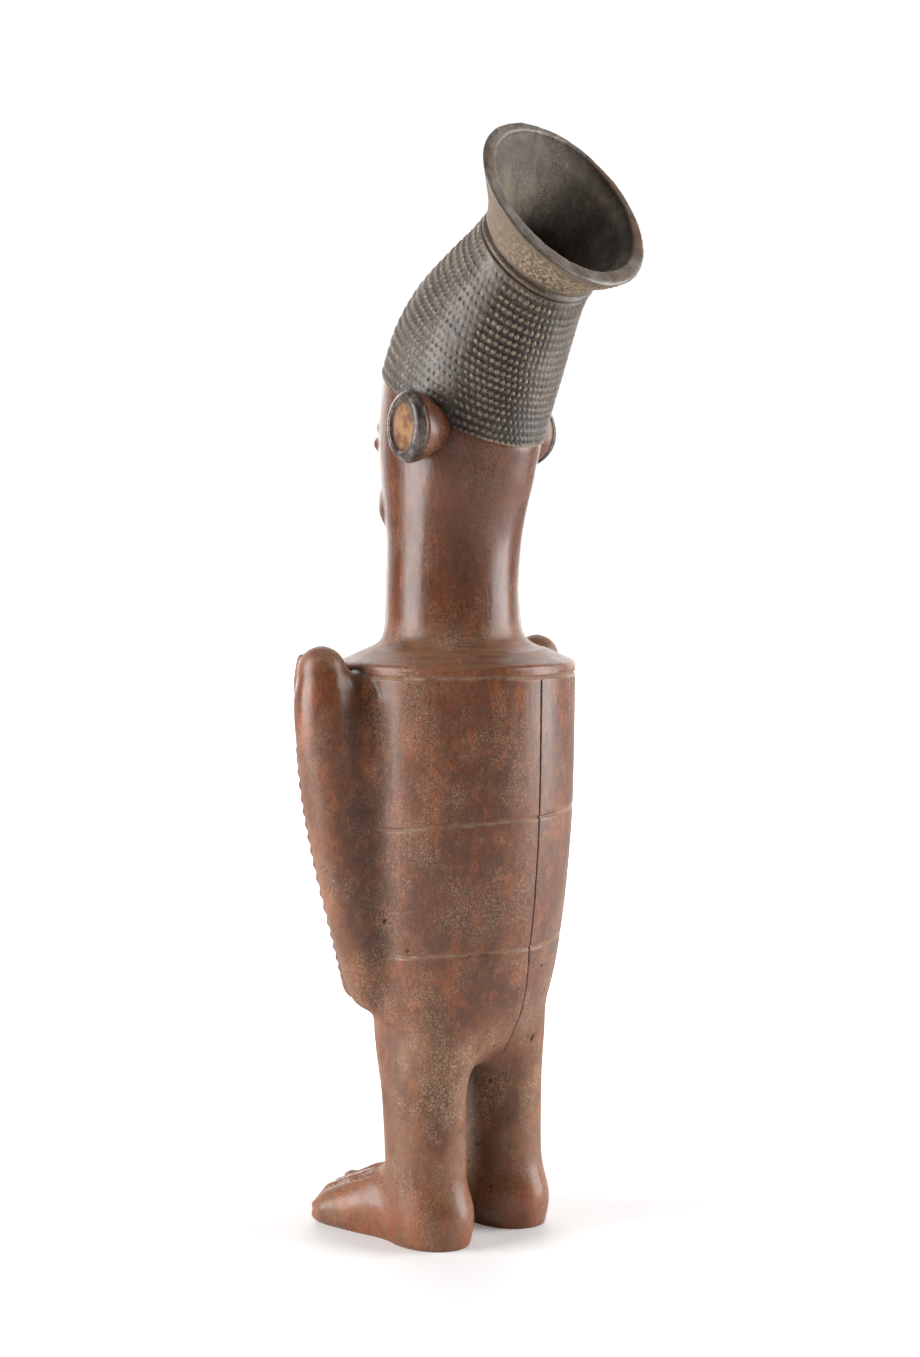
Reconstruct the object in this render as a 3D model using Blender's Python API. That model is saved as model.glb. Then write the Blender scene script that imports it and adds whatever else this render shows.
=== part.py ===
"""Terracotta statuette: a standing figure made as one hollow clay vessel.

Metres, +Z up. The figure faces -Y and its left hand is at +X. The origin is on the ground, under the middle
of the figure's outline. The trunk, neck, head and funnel are one bent tube of clay; legs, feet, arms, ears and
features are lumps of clay worked onto it; then the inside, the ear cups, the spine line and the soles are cut.
"""
import math

import bmesh
import bpy
from mathutils import Matrix, Vector

# Driving dimensions, in metres
HEIGHT = 0.500           # soles to the highest point of the rim
WALL = 0.0085            # clay wall of the trunk, neck and head
MOUTH_WALL = 0.0072      # clay wall of the funnel, below its lip
LIP_WIDTH = 0.0067       # flat band round the mouth of the funnel
LIP_ROUNDING = 0.0010    # worn outer edge of that band
LINE_WIDTH = 0.0024      # incised lines round the trunk
LINE_DEPTH = 0.0009
SPINE_WIDTH = 0.0014     # incised line down the back
SPINE_DEPTH = 0.0011
SPINE_CLEARANCE = 0.003  # how far the blade that cuts it stands out of the back
FILLET_WIDTH = 0.0042    # each of the two raised bands at the throat
FILLET_RISE = 0.0013
HAIR_RISE = 0.0011       # edge of the hair above the skin
RING_COUNT = 20          # raised rings along each forearm
RING_RISE = 0.0008
EAR_RIM = 0.0032         # width of the rim round each ear cup
EAR_CUP = 0.0042         # depth of each ear cup
CUT_MARGIN = 0.0040      # how far each cutting tool reaches out of the clay
FINGER_WIDTH = 0.0062
TOE_WIDTH = 0.0086

# The figure's proportions are counted in 500ths of its height, from the trunk's own axis
UNIT = HEIGHT / 500
OUTLINE_MIDDLE = 13.7    # the middle of the outline lies this far behind the trunk's axis

# Sections of the bent tube, as centre back, centre height, half width, half depth, backward tilt in degrees
TRUNK = [(3.0, 79, 14.0, 13.0, 0), (2.5, 86, 28.0, 23.0, 0), (2.0, 96, 40.0, 31.0, 0), (1.5, 106, 43.8, 36.8, 0),
         (0.5, 120, 46.0, 43.0, 0), (0.0, 138, 47.9, 47.4, 0), (0.0, 162, 50.5, 50.5, 0),
         (0.0, 200, 53.2, 53.2, 0), (0.0, 261.5, 54.2, 54.2, 0)]
SHOULDER = [(0.0, 263.6, 53.8, 53.8, 0), (-0.6, 267.8, 44.2, 44.2, 0), (-1.6, 271.8, 35.0, 35.0, 0)]
NECK = [(-2.6, 278, 31.7, 31.7, 0), (-3.0, 298, 30.6, 30.6, 0), (-2.0, 318, 30.6, 31.2, 2),
        (-1.5, 335, 31.5, 34.5, 5), (-0.5, 350, 32.5, 38.5, 9), (1.0, 365, 33.2, 41.0, 17),
        (4.0, 379.5, 33.6, 43.0, 27)]
HAIR = [(4.0, 379.5, 33.6, 43.0, 27), (11.2, 396, 34.0, 42.0, 33), (21.3, 411.0, 33.4, 38.8, 39),
        (33.6, 424.9, 31.2, 33.4, 45), (44.2, 436.0, 28.8, 28.9, 49.5)]
THROAT = (50.2, 442.2, 28.0, 27.4, 51)
FUNNEL = [(53.2, 445.6, 28.8, 28.2, 52), (58.3, 451.6, 32.2, 31.8, 54), (63.6, 457.6, 38.2, 38.4, 55.5),
          (66.3, 461.2, 42.2, 42.8, 56.5)]
RIM = (67.2, 463.4, 43.1, 43.8, 56.6)

# Inside of the vessel: its floor above the hips, and outer half widths that its shoulder and neck follow
FLOOR_HEIGHT = 96.0
FLOOR_HALF = (18.0, 16.0)
SHOULDER_HALF = 42.0
NECK_HALF = 33.5

# Incised lines round the trunk, as height on the axis and fall towards the left front in degrees
LINES = [(258.5, 0.0), (193.5, 4.3), (135.5, 3.0)]
LINE_FALL_AXIS = Vector((0.713, 0.700, 0.0))

# Sections of the limbs on the left side, as centre (left, back, up) and half sizes (across, fore and aft)
UPPER_ARM = [(67.6, -15.6, 261, 10.8, 11.4), (66.4, -14.8, 252, 13.6, 14.2), (65.3, -14.5, 238, 14.6, 15.0),
             (62.8, -14.0, 215, 14.4, 14.8), (59.0, -12.4, 185, 13.8, 14.2), (53.2, -11.0, 155, 13.0, 13.4),
             (47.0, -10.0, 130, 12.0, 12.4), (42.0, -11.5, 115, 11.2, 11.6)]
FOREARM = [(39.6, -19.2, 117, 10.2, 10.6), (41.4, -23.6, 138, 10.8, 11.2), (47.2, -28.2, 170, 11.0, 11.4),
           (51.9, -31.2, 200, 11.1, 11.5), (54.2, -33.5, 226, 10.8, 10.8)]
PALM = [(52.0, -31.4, 217, 8.0, 7.6), (52.2, -31.8, 226, 10.6, 9.6), (53.7, -32.7, 238, 11.8, 8.2),
        (55.7, -31.7, 254, 12.2, 7.2)]
LEG = [(18.5, 1.0, 121, 9.0, 16.0), (20.5, 1.2, 110, 16.2, 26.4), (22.4, 2.0, 97, 18.9, 28.2),
       (23.4, 2.8, 83, 18.6, 25.0), (24.0, 3.8, 67, 17.9, 21.5), (24.3, 5.0, 30, 17.4, 20.0),
       (24.3, 6.2, 12, 18.7, 24.0), (24.3, 5.6, -3, 16.2, 21.2)]
FOOT = [(24.3, 6.0, 10.0, 18.0, 20.0), (24.8, -12.0, 12.0, 18.5, 21.0), (26.0, -30.0, 9.0, 20.5, 17.0),
        (27.5, -45.0, 6.5, 21.2, 12.4)]

# Clay between the forearm and the trunk: its place from the upper arm to the forearm, its place from the
# trunk's axis outwards, and half its thickness
FILLING_FORWARD = 0.72
FILLING_OUTWARD = 0.90
FILLING_HALF = 9.5

# Toes, from the big toe outwards: centre left, tip forward, share of the toe width
TOES = [(13.2, 65.4, 1.30), (22.4, 64.4, 1.02), (30.4, 61.9, 1.00), (37.7, 58.2, 0.97), (44.0, 52.8, 0.94)]
TOE_ROOT = 44.0
TOE_LENGTH_INSIDE = 14.0  # how far each toe starts inside the foot
TOE_GATHER = 0.93         # how far the toes close up there
TOE_HEIGHT = 14.0

# Fingers, from the first to the fourth: offset across the palm, tip height
FINGERS = [(-8.6, 268.0), (-2.9, 271.5), (2.9, 270.0), (8.6, 268.5)]

# Places along a finger and along the thumb, from the middle of the knuckles
FINGER_ROOT = (-2.0, -12.0)
FINGER_MIDDLE = (-2.6, 2.0)
FINGER_TIP = -0.5
THUMB = [(-6.0, -1.5, -18.0), (-12.0, -2.0, -8.0), (-14.5, -0.5, 1.0)]

# Ears: middle of the rim (left, back, up), rim radius, root radius, turn to the front in degrees
EAR_CENTRE = (45.5, 12.6, 368.5)
EAR_RADIUS = 15.8
EAR_ROOT_RADIUS = 10.0
EAR_LENGTH = 16.0
EAR_TURN = 15.0
RIGHT_EAR_SHIFT = (6.0, -5.5, -1.0)

# Outline of an ear, as share of a radius and share of its length: its back on the root's radius, its side and
# edge on the rim's radius; and of its cup, as share of the cup's radius and depth
EAR_STALK = [(0.80, -1.30), (1.28, -0.78), (1.44, -0.58)]
EAR_DISC = [(0.98, -0.36), (1.00, -0.08), (0.95, 0.03)]
EAR_HOLLOW = [(0.30, -1.00), (0.72, -0.88), (0.93, -0.45), (1.00, 0.0)]

# Face, on plain thirds between the hairline and the chin
CHIN_HEIGHT = 317.0
HAIRLINE_HEIGHT = 398.0
FACE_THIRD = (HAIRLINE_HEIGHT - CHIN_HEIGHT) / 3

# Sections of the nose and of the left eyebrow, as left, thirds above the chin, distance in front of the
# head's own front, half width and half depth
NOSE = [(0.0, 1.93, -2.3, 3.6, 4.2), (0.0, 1.59, 0.1, 3.8, 5.0), (0.0, 1.30, 3.0, 5.0, 6.4),
        (0.0, 1.13, 3.7, 6.6, 6.4)]
EYEBROW = [(6.0, 1.96, -2.8, 1.7, 1.7), (14.5, 2.06, -4.9, 1.8, 1.8), (23.0, 1.94, -10.8, 1.6, 1.6)]

# Egg-shaped lumps of the face, as left, thirds above the chin, distance in front, and their half sizes
MUZZLE = (0.0, 0.70, -19.6, (27.0, 24.2, 23.0))
CHIN = (0.0, 0.27, -4.5, (12.0, 10.2, 7.6))
UPPER_LIP = (0.0, 0.71, 4.0, (10.0, 4.4, 2.5))
LOWER_LIP = (0.0, 0.555, 4.0, (8.8, 4.6, 2.9))
NOSTRIL = (4.8, 1.12, 1.1, (3.4, 4.2, 2.9))
EYELID = (14.5, 1.70, -7.0, (7.2, 5.0, 4.0))

# Corners in the outline of each kind of section
TRUNK_CORNER_COUNT = 30
INSIDE_CORNER_COUNT = 16
LEG_CORNER_COUNT = 14
ARM_CORNER_COUNT = 12
FOREARM_CORNER_COUNT = 8
EAR_CORNER_COUNT = 16
TOE_CORNER_COUNT = 8
FINGER_CORNER_COUNT = 6

# Angles of the circles that close a rounded end, up from its widest circle
LIMB_DOME = (38.0, 70.0)
DIGIT_DOME = (58.0,)


def clear_scene():
    for obj in list(bpy.data.objects):
        bpy.data.objects.remove(obj, do_unlink=True)


def new_collection(name):
    collection = bpy.data.collections.new(name)
    bpy.context.scene.collection.children.link(collection)
    return collection


def terracotta():
    material = bpy.data.materials.new("terracotta")
    material.use_nodes = True
    shader = material.node_tree.nodes["Principled BSDF"]
    shader.inputs["Base Color"].default_value = (0.225, 0.082, 0.047, 1.0)
    shader.inputs["Roughness"].default_value = 0.42
    shader.inputs["Metallic"].default_value = 0.0
    return material


def mesh_object(name, bm, collection):
    """Closes a bmesh with its faces outwards and puts it in a collection."""
    bmesh.ops.remove_doubles(bm, verts=bm.verts, dist=0.00001)
    bmesh.ops.recalc_face_normals(bm, faces=bm.faces)
    mesh = bpy.data.meshes.new(name)
    bm.to_mesh(mesh)
    bm.free()
    obj = bpy.data.objects.new(name, mesh)
    collection.objects.link(obj)
    return obj


def ring_matrix(section, fall=0.0):
    """The place of one section of the bent tube: a unit circle becomes the section's outline."""
    back, up, half_width, half_depth, tilt = section
    place = Matrix.Translation(Vector((0.0, back, up)) * UNIT)
    lean = Matrix.Rotation(math.radians(fall), 4, LINE_FALL_AXIS)
    turn = Matrix.Rotation(-math.radians(tilt), 4, "X")
    size = Matrix.Diagonal((half_width * UNIT, half_depth * UNIT, 1.0, 1.0))
    return place @ lean @ turn @ size


def loft(name, matrices, around, collection):
    """A closed skin over a row of sections, each one a unit circle put in place by its matrix."""
    bm = bmesh.new()
    loops = []
    for matrix in matrices:
        made = bmesh.ops.create_circle(bm, segments=around, radius=1.0, cap_ends=False, matrix=matrix)
        loops.append(made["verts"])
    for lower, upper in zip(loops, loops[1:]):
        for i in range(around):
            j = (i + 1) % around
            bm.faces.new((lower[i], lower[j], upper[j], upper[i]))
    bm.faces.new(loops[0])
    bm.faces.new(loops[-1])
    return mesh_object(name, bm, collection)


def between(sections, t):
    """A section at t along a list of sections, on a smooth curve through them all."""
    last = len(sections) - 1
    i = min(int(t), last - 1)
    u = t - i
    before, start = sections[max(i - 1, 0)], sections[i]
    end, after = sections[i + 1], sections[min(i + 2, last)]
    result = []
    for a, b, c, d in zip(before, start, end, after):
        curve = 2 * b + (c - a) * u + (2 * a - 5 * b + 4 * c - d) * u ** 2 + (3 * b - a - 3 * c + d) * u ** 3
        result.append(curve / 2)
    return tuple(result)


def spread(sections, steps):
    """The sections with steps - 1 more between each two neighbours."""
    count = (len(sections) - 1) * steps
    return [between(sections, i / steps) for i in range(count + 1)]


def inset(section, amount):
    """The same section made smaller all round by an amount in metres."""
    back, up, half_width, half_depth, tilt = section
    return (back, up, half_width - amount / UNIT, half_depth - amount / UNIT, tilt)


def shifted(section, along):
    """The same section moved along its own axis by a distance in metres."""
    back, up, half_width, half_depth, tilt = section
    angle = math.radians(tilt)
    step = along / UNIT
    return (back + step * math.sin(angle), up + step * math.cos(angle), half_width, half_depth, tilt)


def trunk_at(height):
    """The trunk's section at a height on its axis, found between the two sections around it."""
    for i in range(len(TRUNK) - 1):
        low, high = TRUNK[i][1], TRUNK[i + 1][1]
        if low <= height <= high:
            return between(TRUNK, i + (height - low) / (high - low))
    raise ValueError("a line must lie on the trunk")


def body_sections():
    """Matrices of the outer skin: trunk with its incised lines, shoulder, neck, hair, throat bands and funnel."""
    trunk = [(section[1], ring_matrix(section)) for section in TRUNK]
    half = LINE_WIDTH / 2 / UNIT
    for height, fall in LINES:
        reach = half + abs(math.tan(math.radians(fall))) * trunk_at(height)[2] + 1
        ends = (TRUNK[0][1], TRUNK[-1][1])
        trunk = [(z, matrix) for z, matrix in trunk if abs(z - height) > reach or z in ends]
        for offset, depth in ((-half, 0.0), (0.0, LINE_DEPTH), (half, 0.0)):
            section = inset(trunk_at(height + offset), depth)
            trunk.append((height + offset, ring_matrix(section, fall)))
    trunk.sort(key=lambda pair: pair[0])
    matrices = [matrix for _, matrix in trunk]
    matrices += [ring_matrix(section) for section in SHOULDER]
    matrices += [ring_matrix(section) for section in NECK]
    matrices += [ring_matrix(inset(shifted(HAIR[0], HAIR_RISE), -HAIR_RISE))]
    matrices += [ring_matrix(inset(section, -HAIR_RISE)) for section in spread(HAIR, 2)[1:]]
    for along, rise in throat_bands():
        matrices.append(ring_matrix(inset(shifted(THROAT, along), -rise)))
    matrices += [ring_matrix(section) for section in FUNNEL]
    matrices.append(ring_matrix(RIM))
    matrices.append(ring_matrix(inset(shifted(RIM, LIP_ROUNDING), LIP_ROUNDING)))
    return matrices


def throat_bands():
    """Distance along the throat and rise of each edge of the two raised bands, with a groove between them."""
    w = FILLET_WIDTH
    edges = []
    for start in (-w, 0.0):
        edges += [(start + 0.12 * w, 0.1 * FILLET_RISE), (start + 0.35 * w, FILLET_RISE),
                  (start + 0.68 * w, FILLET_RISE)]
    edges.append((w, 0.1 * FILLET_RISE))
    return edges


def hollow_sections():
    """Matrices of the inside, from above the hips to outside the mouth of the funnel."""
    wall = WALL / UNIT
    floor = FLOOR_HEIGHT + wall
    top = SHOULDER[0][1] - wall
    sections = [(0.0, floor, *FLOOR_HALF, 0), inset(trunk_at(floor + 4), WALL)]
    sections += [inset(section, WALL) for section in TRUNK if floor + 8 < section[1] < top - 2]
    sections.append(inset(trunk_at(top - 3), WALL))
    sections.append(inset((0.0, top, SHOULDER_HALF, SHOULDER_HALF, 0), WALL))
    sections.append(inset((NECK[0][0], NECK[0][1] - wall, NECK_HALF, NECK_HALF, 0), WALL))
    sections += [inset(section, WALL) for section in NECK[1:]]
    sections += [inset(section, WALL) for section in HAIR[1:]]
    sections.append(inset(THROAT, WALL))
    sections.append(inset(FUNNEL[0], WALL))
    sections += [inset(section, MOUTH_WALL) for section in FUNNEL[1:3]]
    mouth = inset(RIM, LIP_WIDTH)
    sections.append(mouth)
    sections.append(inset(shifted(mouth, CUT_MARGIN), -LIP_ROUNDING))
    return [ring_matrix(section) for section in sections]


def path_matrices(points, radii, side):
    """Places circles square to a path; side is a direction that each circle's first axis follows."""
    matrices = []
    for i, point in enumerate(points):
        ahead = points[min(i + 1, len(points) - 1)]
        behind = points[max(i - 1, 0)]
        along = (ahead - behind).normalized()
        across = (side - side.dot(along) * along).normalized()
        third = along.cross(across)
        turn = Matrix((across, third, along)).transposed().to_4x4()
        size = Matrix.Diagonal((radii[i][0], radii[i][1], 1.0, 1.0))
        matrices.append(Matrix.Translation(point) @ turn @ size)
    return matrices


def rounded_ends(matrices, start, end, angles):
    """Adds smaller circles beyond each end, so that the lump closes in a dome of a share of its radius."""
    result = list(matrices)
    for index, share, sign in ((0, start, -1.0), (len(matrices) - 1, end, 1.0)):
        if not share:
            continue
        base = matrices[index]
        radius = base.col[0].length
        dome = []
        for angle in angles:
            rise = sign * share * radius * math.sin(math.radians(angle))
            shrink = math.cos(math.radians(angle))
            dome.append(base @ Matrix.Translation((0.0, 0.0, rise)) @ Matrix.Diagonal((shrink, shrink, 1.0, 1.0)))
        result = dome[::-1] + result if sign < 0 else result + dome
    return result


def limb(name, sections, around, collection, start=0.85, end=0.85, side=(1.0, 0.0, 0.0), angles=LIMB_DOME):
    """A lump of clay along a path of (left, back, up, half across, half fore and aft)."""
    points = [Vector(section[:3]) * UNIT for section in sections]
    radii = [(section[3] * UNIT, section[4] * UNIT) for section in sections]
    matrices = path_matrices(points, radii, Vector(side))
    return loft(name, rounded_ends(matrices, start, end, angles), around, collection)


def digit(name, sections, around, collection):
    """A finger or a toe: a small limb with a simpler rounded tip."""
    return limb(name, sections, around, collection, start=0.5, end=0.8, angles=DIGIT_DOME)


def ball(name, centre, half_sizes, collection, segments, rings):
    """A lump of clay pressed to an egg shape."""
    bm = bmesh.new()
    size = Matrix.Diagonal((*(Vector(half_sizes) * UNIT), 1.0))
    place = Matrix.Translation(Vector(centre) * UNIT)
    bmesh.ops.create_uvsphere(bm, u_segments=segments, v_segments=rings, radius=1.0, matrix=place @ size)
    return mesh_object(name, bm, collection)


def mirrored(obj, collection, shift=(0.0, 0.0, 0.0)):
    """The same lump on the figure's right side, moved by a shift where the two sides aren't alike."""
    bm = bmesh.new()
    bm.from_mesh(obj.data)
    bmesh.ops.scale(bm, vec=(-1.0, 1.0, 1.0), verts=bm.verts)
    bmesh.ops.translate(bm, vec=Vector(shift) * UNIT, verts=bm.verts)
    return mesh_object(obj.name + "_right", bm, collection)


def forearm(collection):
    """The forearm with its raised rings, from the elbow up to the wrist."""
    ringed = []
    half_rise = RING_RISE / 2 / UNIT
    steps = RING_COUNT * 2
    last = len(FOREARM) - 1
    for i in range(steps + 1):
        section = between(FOREARM, last * i / steps)
        rise = half_rise if i % 2 else -half_rise
        ringed.append((*section[:3], section[3] + rise, section[4] + rise))
    return limb("forearm", ringed, FOREARM_CORNER_COUNT, collection, start=0.8, end=0.3)


def arm_filling(collection):
    """Clay pressed in between the forearm, the upper arm and the chest, so that no pocket stays behind them."""
    sections = []
    for i in range(len(FOREARM)):
        lower, upper = FOREARM[i], UPPER_ARM[len(UPPER_ARM) - 1 - i]
        left = upper[0] + (lower[0] - upper[0]) * FILLING_FORWARD
        back = upper[1] + (lower[1] - upper[1]) * FILLING_FORWARD
        sections.append((left * FILLING_OUTWARD, back, lower[2], FILLING_HALF, FILLING_HALF))
    return limb("arm_filling", sections, FINGER_CORNER_COUNT, collection, start=0.3, end=0.3)


def hand(collection):
    """The palm laid on the front of the shoulder, with four fingers and a thumb."""
    lumps = [limb("palm", PALM, ARM_CORNER_COUNT, collection, start=0.2, end=0.4)]
    half = FINGER_WIDTH / 2 / UNIT
    knuckles = PALM[-1]
    for number, (offset, tip) in enumerate(FINGERS):
        left = knuckles[0] + offset
        sections = [(left, knuckles[1] + back, knuckles[2] + up, half, half)
                    for back, up in (FINGER_ROOT, FINGER_MIDDLE)]
        sections.append((left, knuckles[1] + FINGER_TIP, tip - half, half, half))
        lumps.append(digit("finger_%d" % (number + 1), sections, FINGER_CORNER_COUNT, collection))
    thumb = [(knuckles[0] + left, knuckles[1] + back, knuckles[2] + up, half, half)
             for left, back, up in THUMB]
    lumps.append(digit("thumb", thumb, FINGER_CORNER_COUNT, collection))
    return lumps


def foot(collection):
    """The foot with its five toes; what reaches below the ground is cut off with the soles."""
    lumps = [limb("foot", FOOT, LEG_CORNER_COUNT, collection, start=0.9, end=0.5)]
    for number, (left, tip, share) in enumerate(TOES):
        half = TOE_WIDTH / 2 / UNIT * share
        high = TOE_HEIGHT * share / 2
        toe = [(left * TOE_GATHER, TOE_LENGTH_INSIDE - TOE_ROOT, high, half, high),
               (left, -TOE_ROOT, high, half, high),
               (left, half - tip, high * 0.8, half, high * 0.88)]
        lumps.append(digit("toe_%d" % (number + 1), toe, TOE_CORNER_COUNT, collection))
    return lumps


def ear_frame():
    """The ear's own axes: its third axis looks out of the cup."""
    turn = math.radians(EAR_TURN)
    out = Vector((math.cos(turn), -math.sin(turn), 0.0))
    up = Vector((0.0, 0.0, 1.0))
    side = up.cross(out)
    axes = Matrix((side, up, out)).transposed().to_4x4()
    return Matrix.Translation(Vector(EAR_CENTRE) * UNIT) @ axes


def ear_rings(profile):
    """Circles on the ear's axis, as radius and distance out, both in metres."""
    frame = ear_frame()
    rings = []
    for radius, out in profile:
        size = Matrix.Diagonal((radius, radius, 1.0, 1.0))
        rings.append(frame @ Matrix.Translation((0.0, 0.0, out)) @ size)
    return rings


def ear(collection):
    rim = EAR_RADIUS * UNIT
    root = EAR_ROOT_RADIUS * UNIT
    length = EAR_LENGTH * UNIT
    profile = [(root * share, length * out) for share, out in EAR_STALK]
    profile += [(rim * share, length * out) for share, out in EAR_DISC]
    return loft("ear", ear_rings(profile), EAR_CORNER_COUNT, collection)


def ear_cup(collection):
    mouth = EAR_RADIUS * UNIT - EAR_RIM
    profile = [(mouth * share, EAR_CUP * out) for share, out in EAR_HOLLOW]
    profile.append((mouth, CUT_MARGIN))
    return loft("ear_cup", ear_rings(profile), EAR_CORNER_COUNT, collection)


def head_front(height):
    """How far back the front of the neck and head lies at a height."""
    fronts = []
    for back, up, _, half_depth, tilt in NECK + HAIR[1:]:
        lean = math.radians(tilt)
        fronts.append((up + half_depth * math.sin(lean), back - half_depth * math.cos(lean)))
    for (low, low_back), (high, high_back) in zip(fronts, fronts[1:]):
        if height <= high:
            return low_back + (high_back - low_back) * (height - low) / (high - low)
    return fronts[-1][1]


def on_face(left, thirds, forward):
    """A place on the face, from its height in thirds above the chin and its distance in front of the head."""
    height = CHIN_HEIGHT + thirds * FACE_THIRD
    return (left, head_front(height) - forward, height)


def face_lump(name, lump, collection, segments=10, rings=6):
    left, thirds, forward, half_sizes = lump
    return ball(name, on_face(left, thirds, forward), half_sizes, collection, segments, rings)


def face_ridge(name, ridge, corners, collection, end, side):
    sections = [(*on_face(left, thirds, forward), across, deep) for left, thirds, forward, across, deep in ridge]
    return limb(name, sections, corners, collection, start=0.6, end=end, side=side)


def face(collection):
    """A calm, plain face: brow, closed lids, nose, lips and chin on equal thirds."""
    face_ridge("nose", NOSE, 10, collection, 0.5, (1.0, 0.0, 0.0))
    face_lump("muzzle", MUZZLE, collection, segments=14, rings=8)
    face_lump("chin", CHIN, collection)
    face_lump("upper_lip", UPPER_LIP, collection)
    face_lump("lower_lip", LOWER_LIP, collection)
    mirrored(face_lump("nostril", NOSTRIL, collection, segments=8, rings=5), collection)
    mirrored(face_lump("eyelid", EYELID, collection), collection)
    mirrored(face_ridge("eyebrow", EYEBROW, 8, collection, 0.6, (0.0, 0.0, 1.0)), collection)


def lumps_of_clay(collection):
    """Everything that is worked onto the bent tube, on both sides."""
    left = [limb("leg", LEG, LEG_CORNER_COUNT, collection, start=0.5, end=0.0),
            limb("upper_arm", UPPER_ARM, ARM_CORNER_COUNT, collection, start=0.9, end=0.9),
            forearm(collection), arm_filling(collection)]
    left += hand(collection)
    left += foot(collection)
    for lump in left:
        mirrored(lump, collection)
    mirrored(ear(collection), collection, RIGHT_EAR_SHIFT)
    face(collection)


def spine_cutter(collection):
    """A narrow blade that follows the back from the first line down to the parting of the legs."""
    top = LINES[0][0] - LINE_WIDTH / 2 / UNIT
    bottom = TRUNK[0][1] + 6
    steps = 14
    bm = bmesh.new()
    bmesh.ops.create_cube(bm, size=1.0)
    upright = [edge for edge in bm.edges if abs(edge.verts[0].co.z - edge.verts[1].co.z) > 0.5]
    bmesh.ops.subdivide_edges(bm, edges=upright, cuts=steps - 1, use_grid_fill=True)
    for vert in bm.verts:
        height = bottom + (top - bottom) * (vert.co.z + 0.5)
        section = trunk_at(height)
        surface = (section[0] + section[3]) * UNIT
        back = surface + (SPINE_CLEARANCE if vert.co.y > 0 else -SPINE_DEPTH)
        vert.co = Vector((vert.co.x * SPINE_WIDTH, back, height * UNIT))
    return mesh_object("spine_cutter", bm, collection)


def ground_cutter(collection):
    """A block whose top face is the ground, so that both feet end in flat soles."""
    bm = bmesh.new()
    bmesh.ops.create_cube(bm, size=1.0)
    bmesh.ops.scale(bm, vec=(0.4, 0.4, 0.1), verts=bm.verts)
    bmesh.ops.translate(bm, vec=(0.0, 0.0, -0.05), verts=bm.verts)
    return mesh_object("ground_cutter", bm, collection)


def cutters(collection):
    loft("hollow", hollow_sections(), INSIDE_CORNER_COUNT, collection)
    mirrored(ear_cup(collection), collection, RIGHT_EAR_SHIFT)
    spine_cutter(collection)
    ground_cutter(collection)


def boolean(obj, name, operation, collection):
    modifier = obj.modifiers.new(name, "BOOLEAN")
    modifier.operation = operation
    modifier.operand_type = "COLLECTION"
    modifier.collection = collection
    modifier.solver = "EXACT"


def centre_outline(collections):
    """Moves the figure forward, so that the origin is under the middle of its outline."""
    for collection in collections:
        for obj in collection.objects:
            obj.location.y = -OUTLINE_MIDDLE * UNIT


def hide_tools(collection):
    for obj in collection.objects:
        obj.hide_render = True
        obj.display_type = "WIRE"


def main():
    clear_scene()
    parts = new_collection("terracotta_statuette")
    added = new_collection("added_clay")
    cut = new_collection("cutters")
    statuette = loft("statuette", body_sections(), TRUNK_CORNER_COUNT, parts)
    lumps_of_clay(added)
    cutters(cut)
    boolean(statuette, "join the clay", "UNION", added)
    boolean(statuette, "hollow and trim", "DIFFERENCE", cut)
    statuette.data.materials.append(terracotta())
    statuette.data.shade_smooth()
    statuette.data.set_sharp_from_angle(angle=math.radians(40))
    centre_outline((parts, added, cut))
    hide_tools(added)
    hide_tools(cut)


main()
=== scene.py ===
# %% [markdown]
# # A burnished terracotta statuette
# The real object is one hollow vessel of fired clay: a standing figure with a round trunk, a long head that
# leans back and opens in a flared funnel, folded arms with ringed forearms, cup ears and bare feet. The skin is
# clay rubbed smooth before firing, the hair is rows of small pressed pellets, blackened by smoke. The packed
# solid gives every size. This script dresses it, piece by piece, and each piece stays in the solid's place.

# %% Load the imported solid
import math

import bmesh
import bpy
import numpy as np
from mathutils import Matrix, Vector, noise


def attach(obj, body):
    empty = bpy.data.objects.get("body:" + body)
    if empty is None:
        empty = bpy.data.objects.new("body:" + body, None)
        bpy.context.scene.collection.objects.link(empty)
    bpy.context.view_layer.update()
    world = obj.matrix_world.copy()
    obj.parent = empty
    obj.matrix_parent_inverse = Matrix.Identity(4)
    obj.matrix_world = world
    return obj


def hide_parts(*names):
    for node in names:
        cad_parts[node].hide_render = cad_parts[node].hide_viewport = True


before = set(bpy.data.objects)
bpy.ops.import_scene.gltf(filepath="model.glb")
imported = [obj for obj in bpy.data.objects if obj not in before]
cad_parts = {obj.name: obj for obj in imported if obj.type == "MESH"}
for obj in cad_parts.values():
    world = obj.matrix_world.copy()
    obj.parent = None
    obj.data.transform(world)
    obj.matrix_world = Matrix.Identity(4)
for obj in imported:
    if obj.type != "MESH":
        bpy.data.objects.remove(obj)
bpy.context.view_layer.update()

# %% [markdown]
# Sizes are written in millimetres from the trunk's own upright axis, which is how a potter would lay the figure
# out. One matrix turns them into metres in the solid's frame, whose origin is under the middle of the outline.
# The tables are the sections of the bent tube of clay (centre back, centre up, half width, half depth, tilt)
# and of the limbs (left, back, up, half across, half deep), the same ones that the solid is made from.

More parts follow.
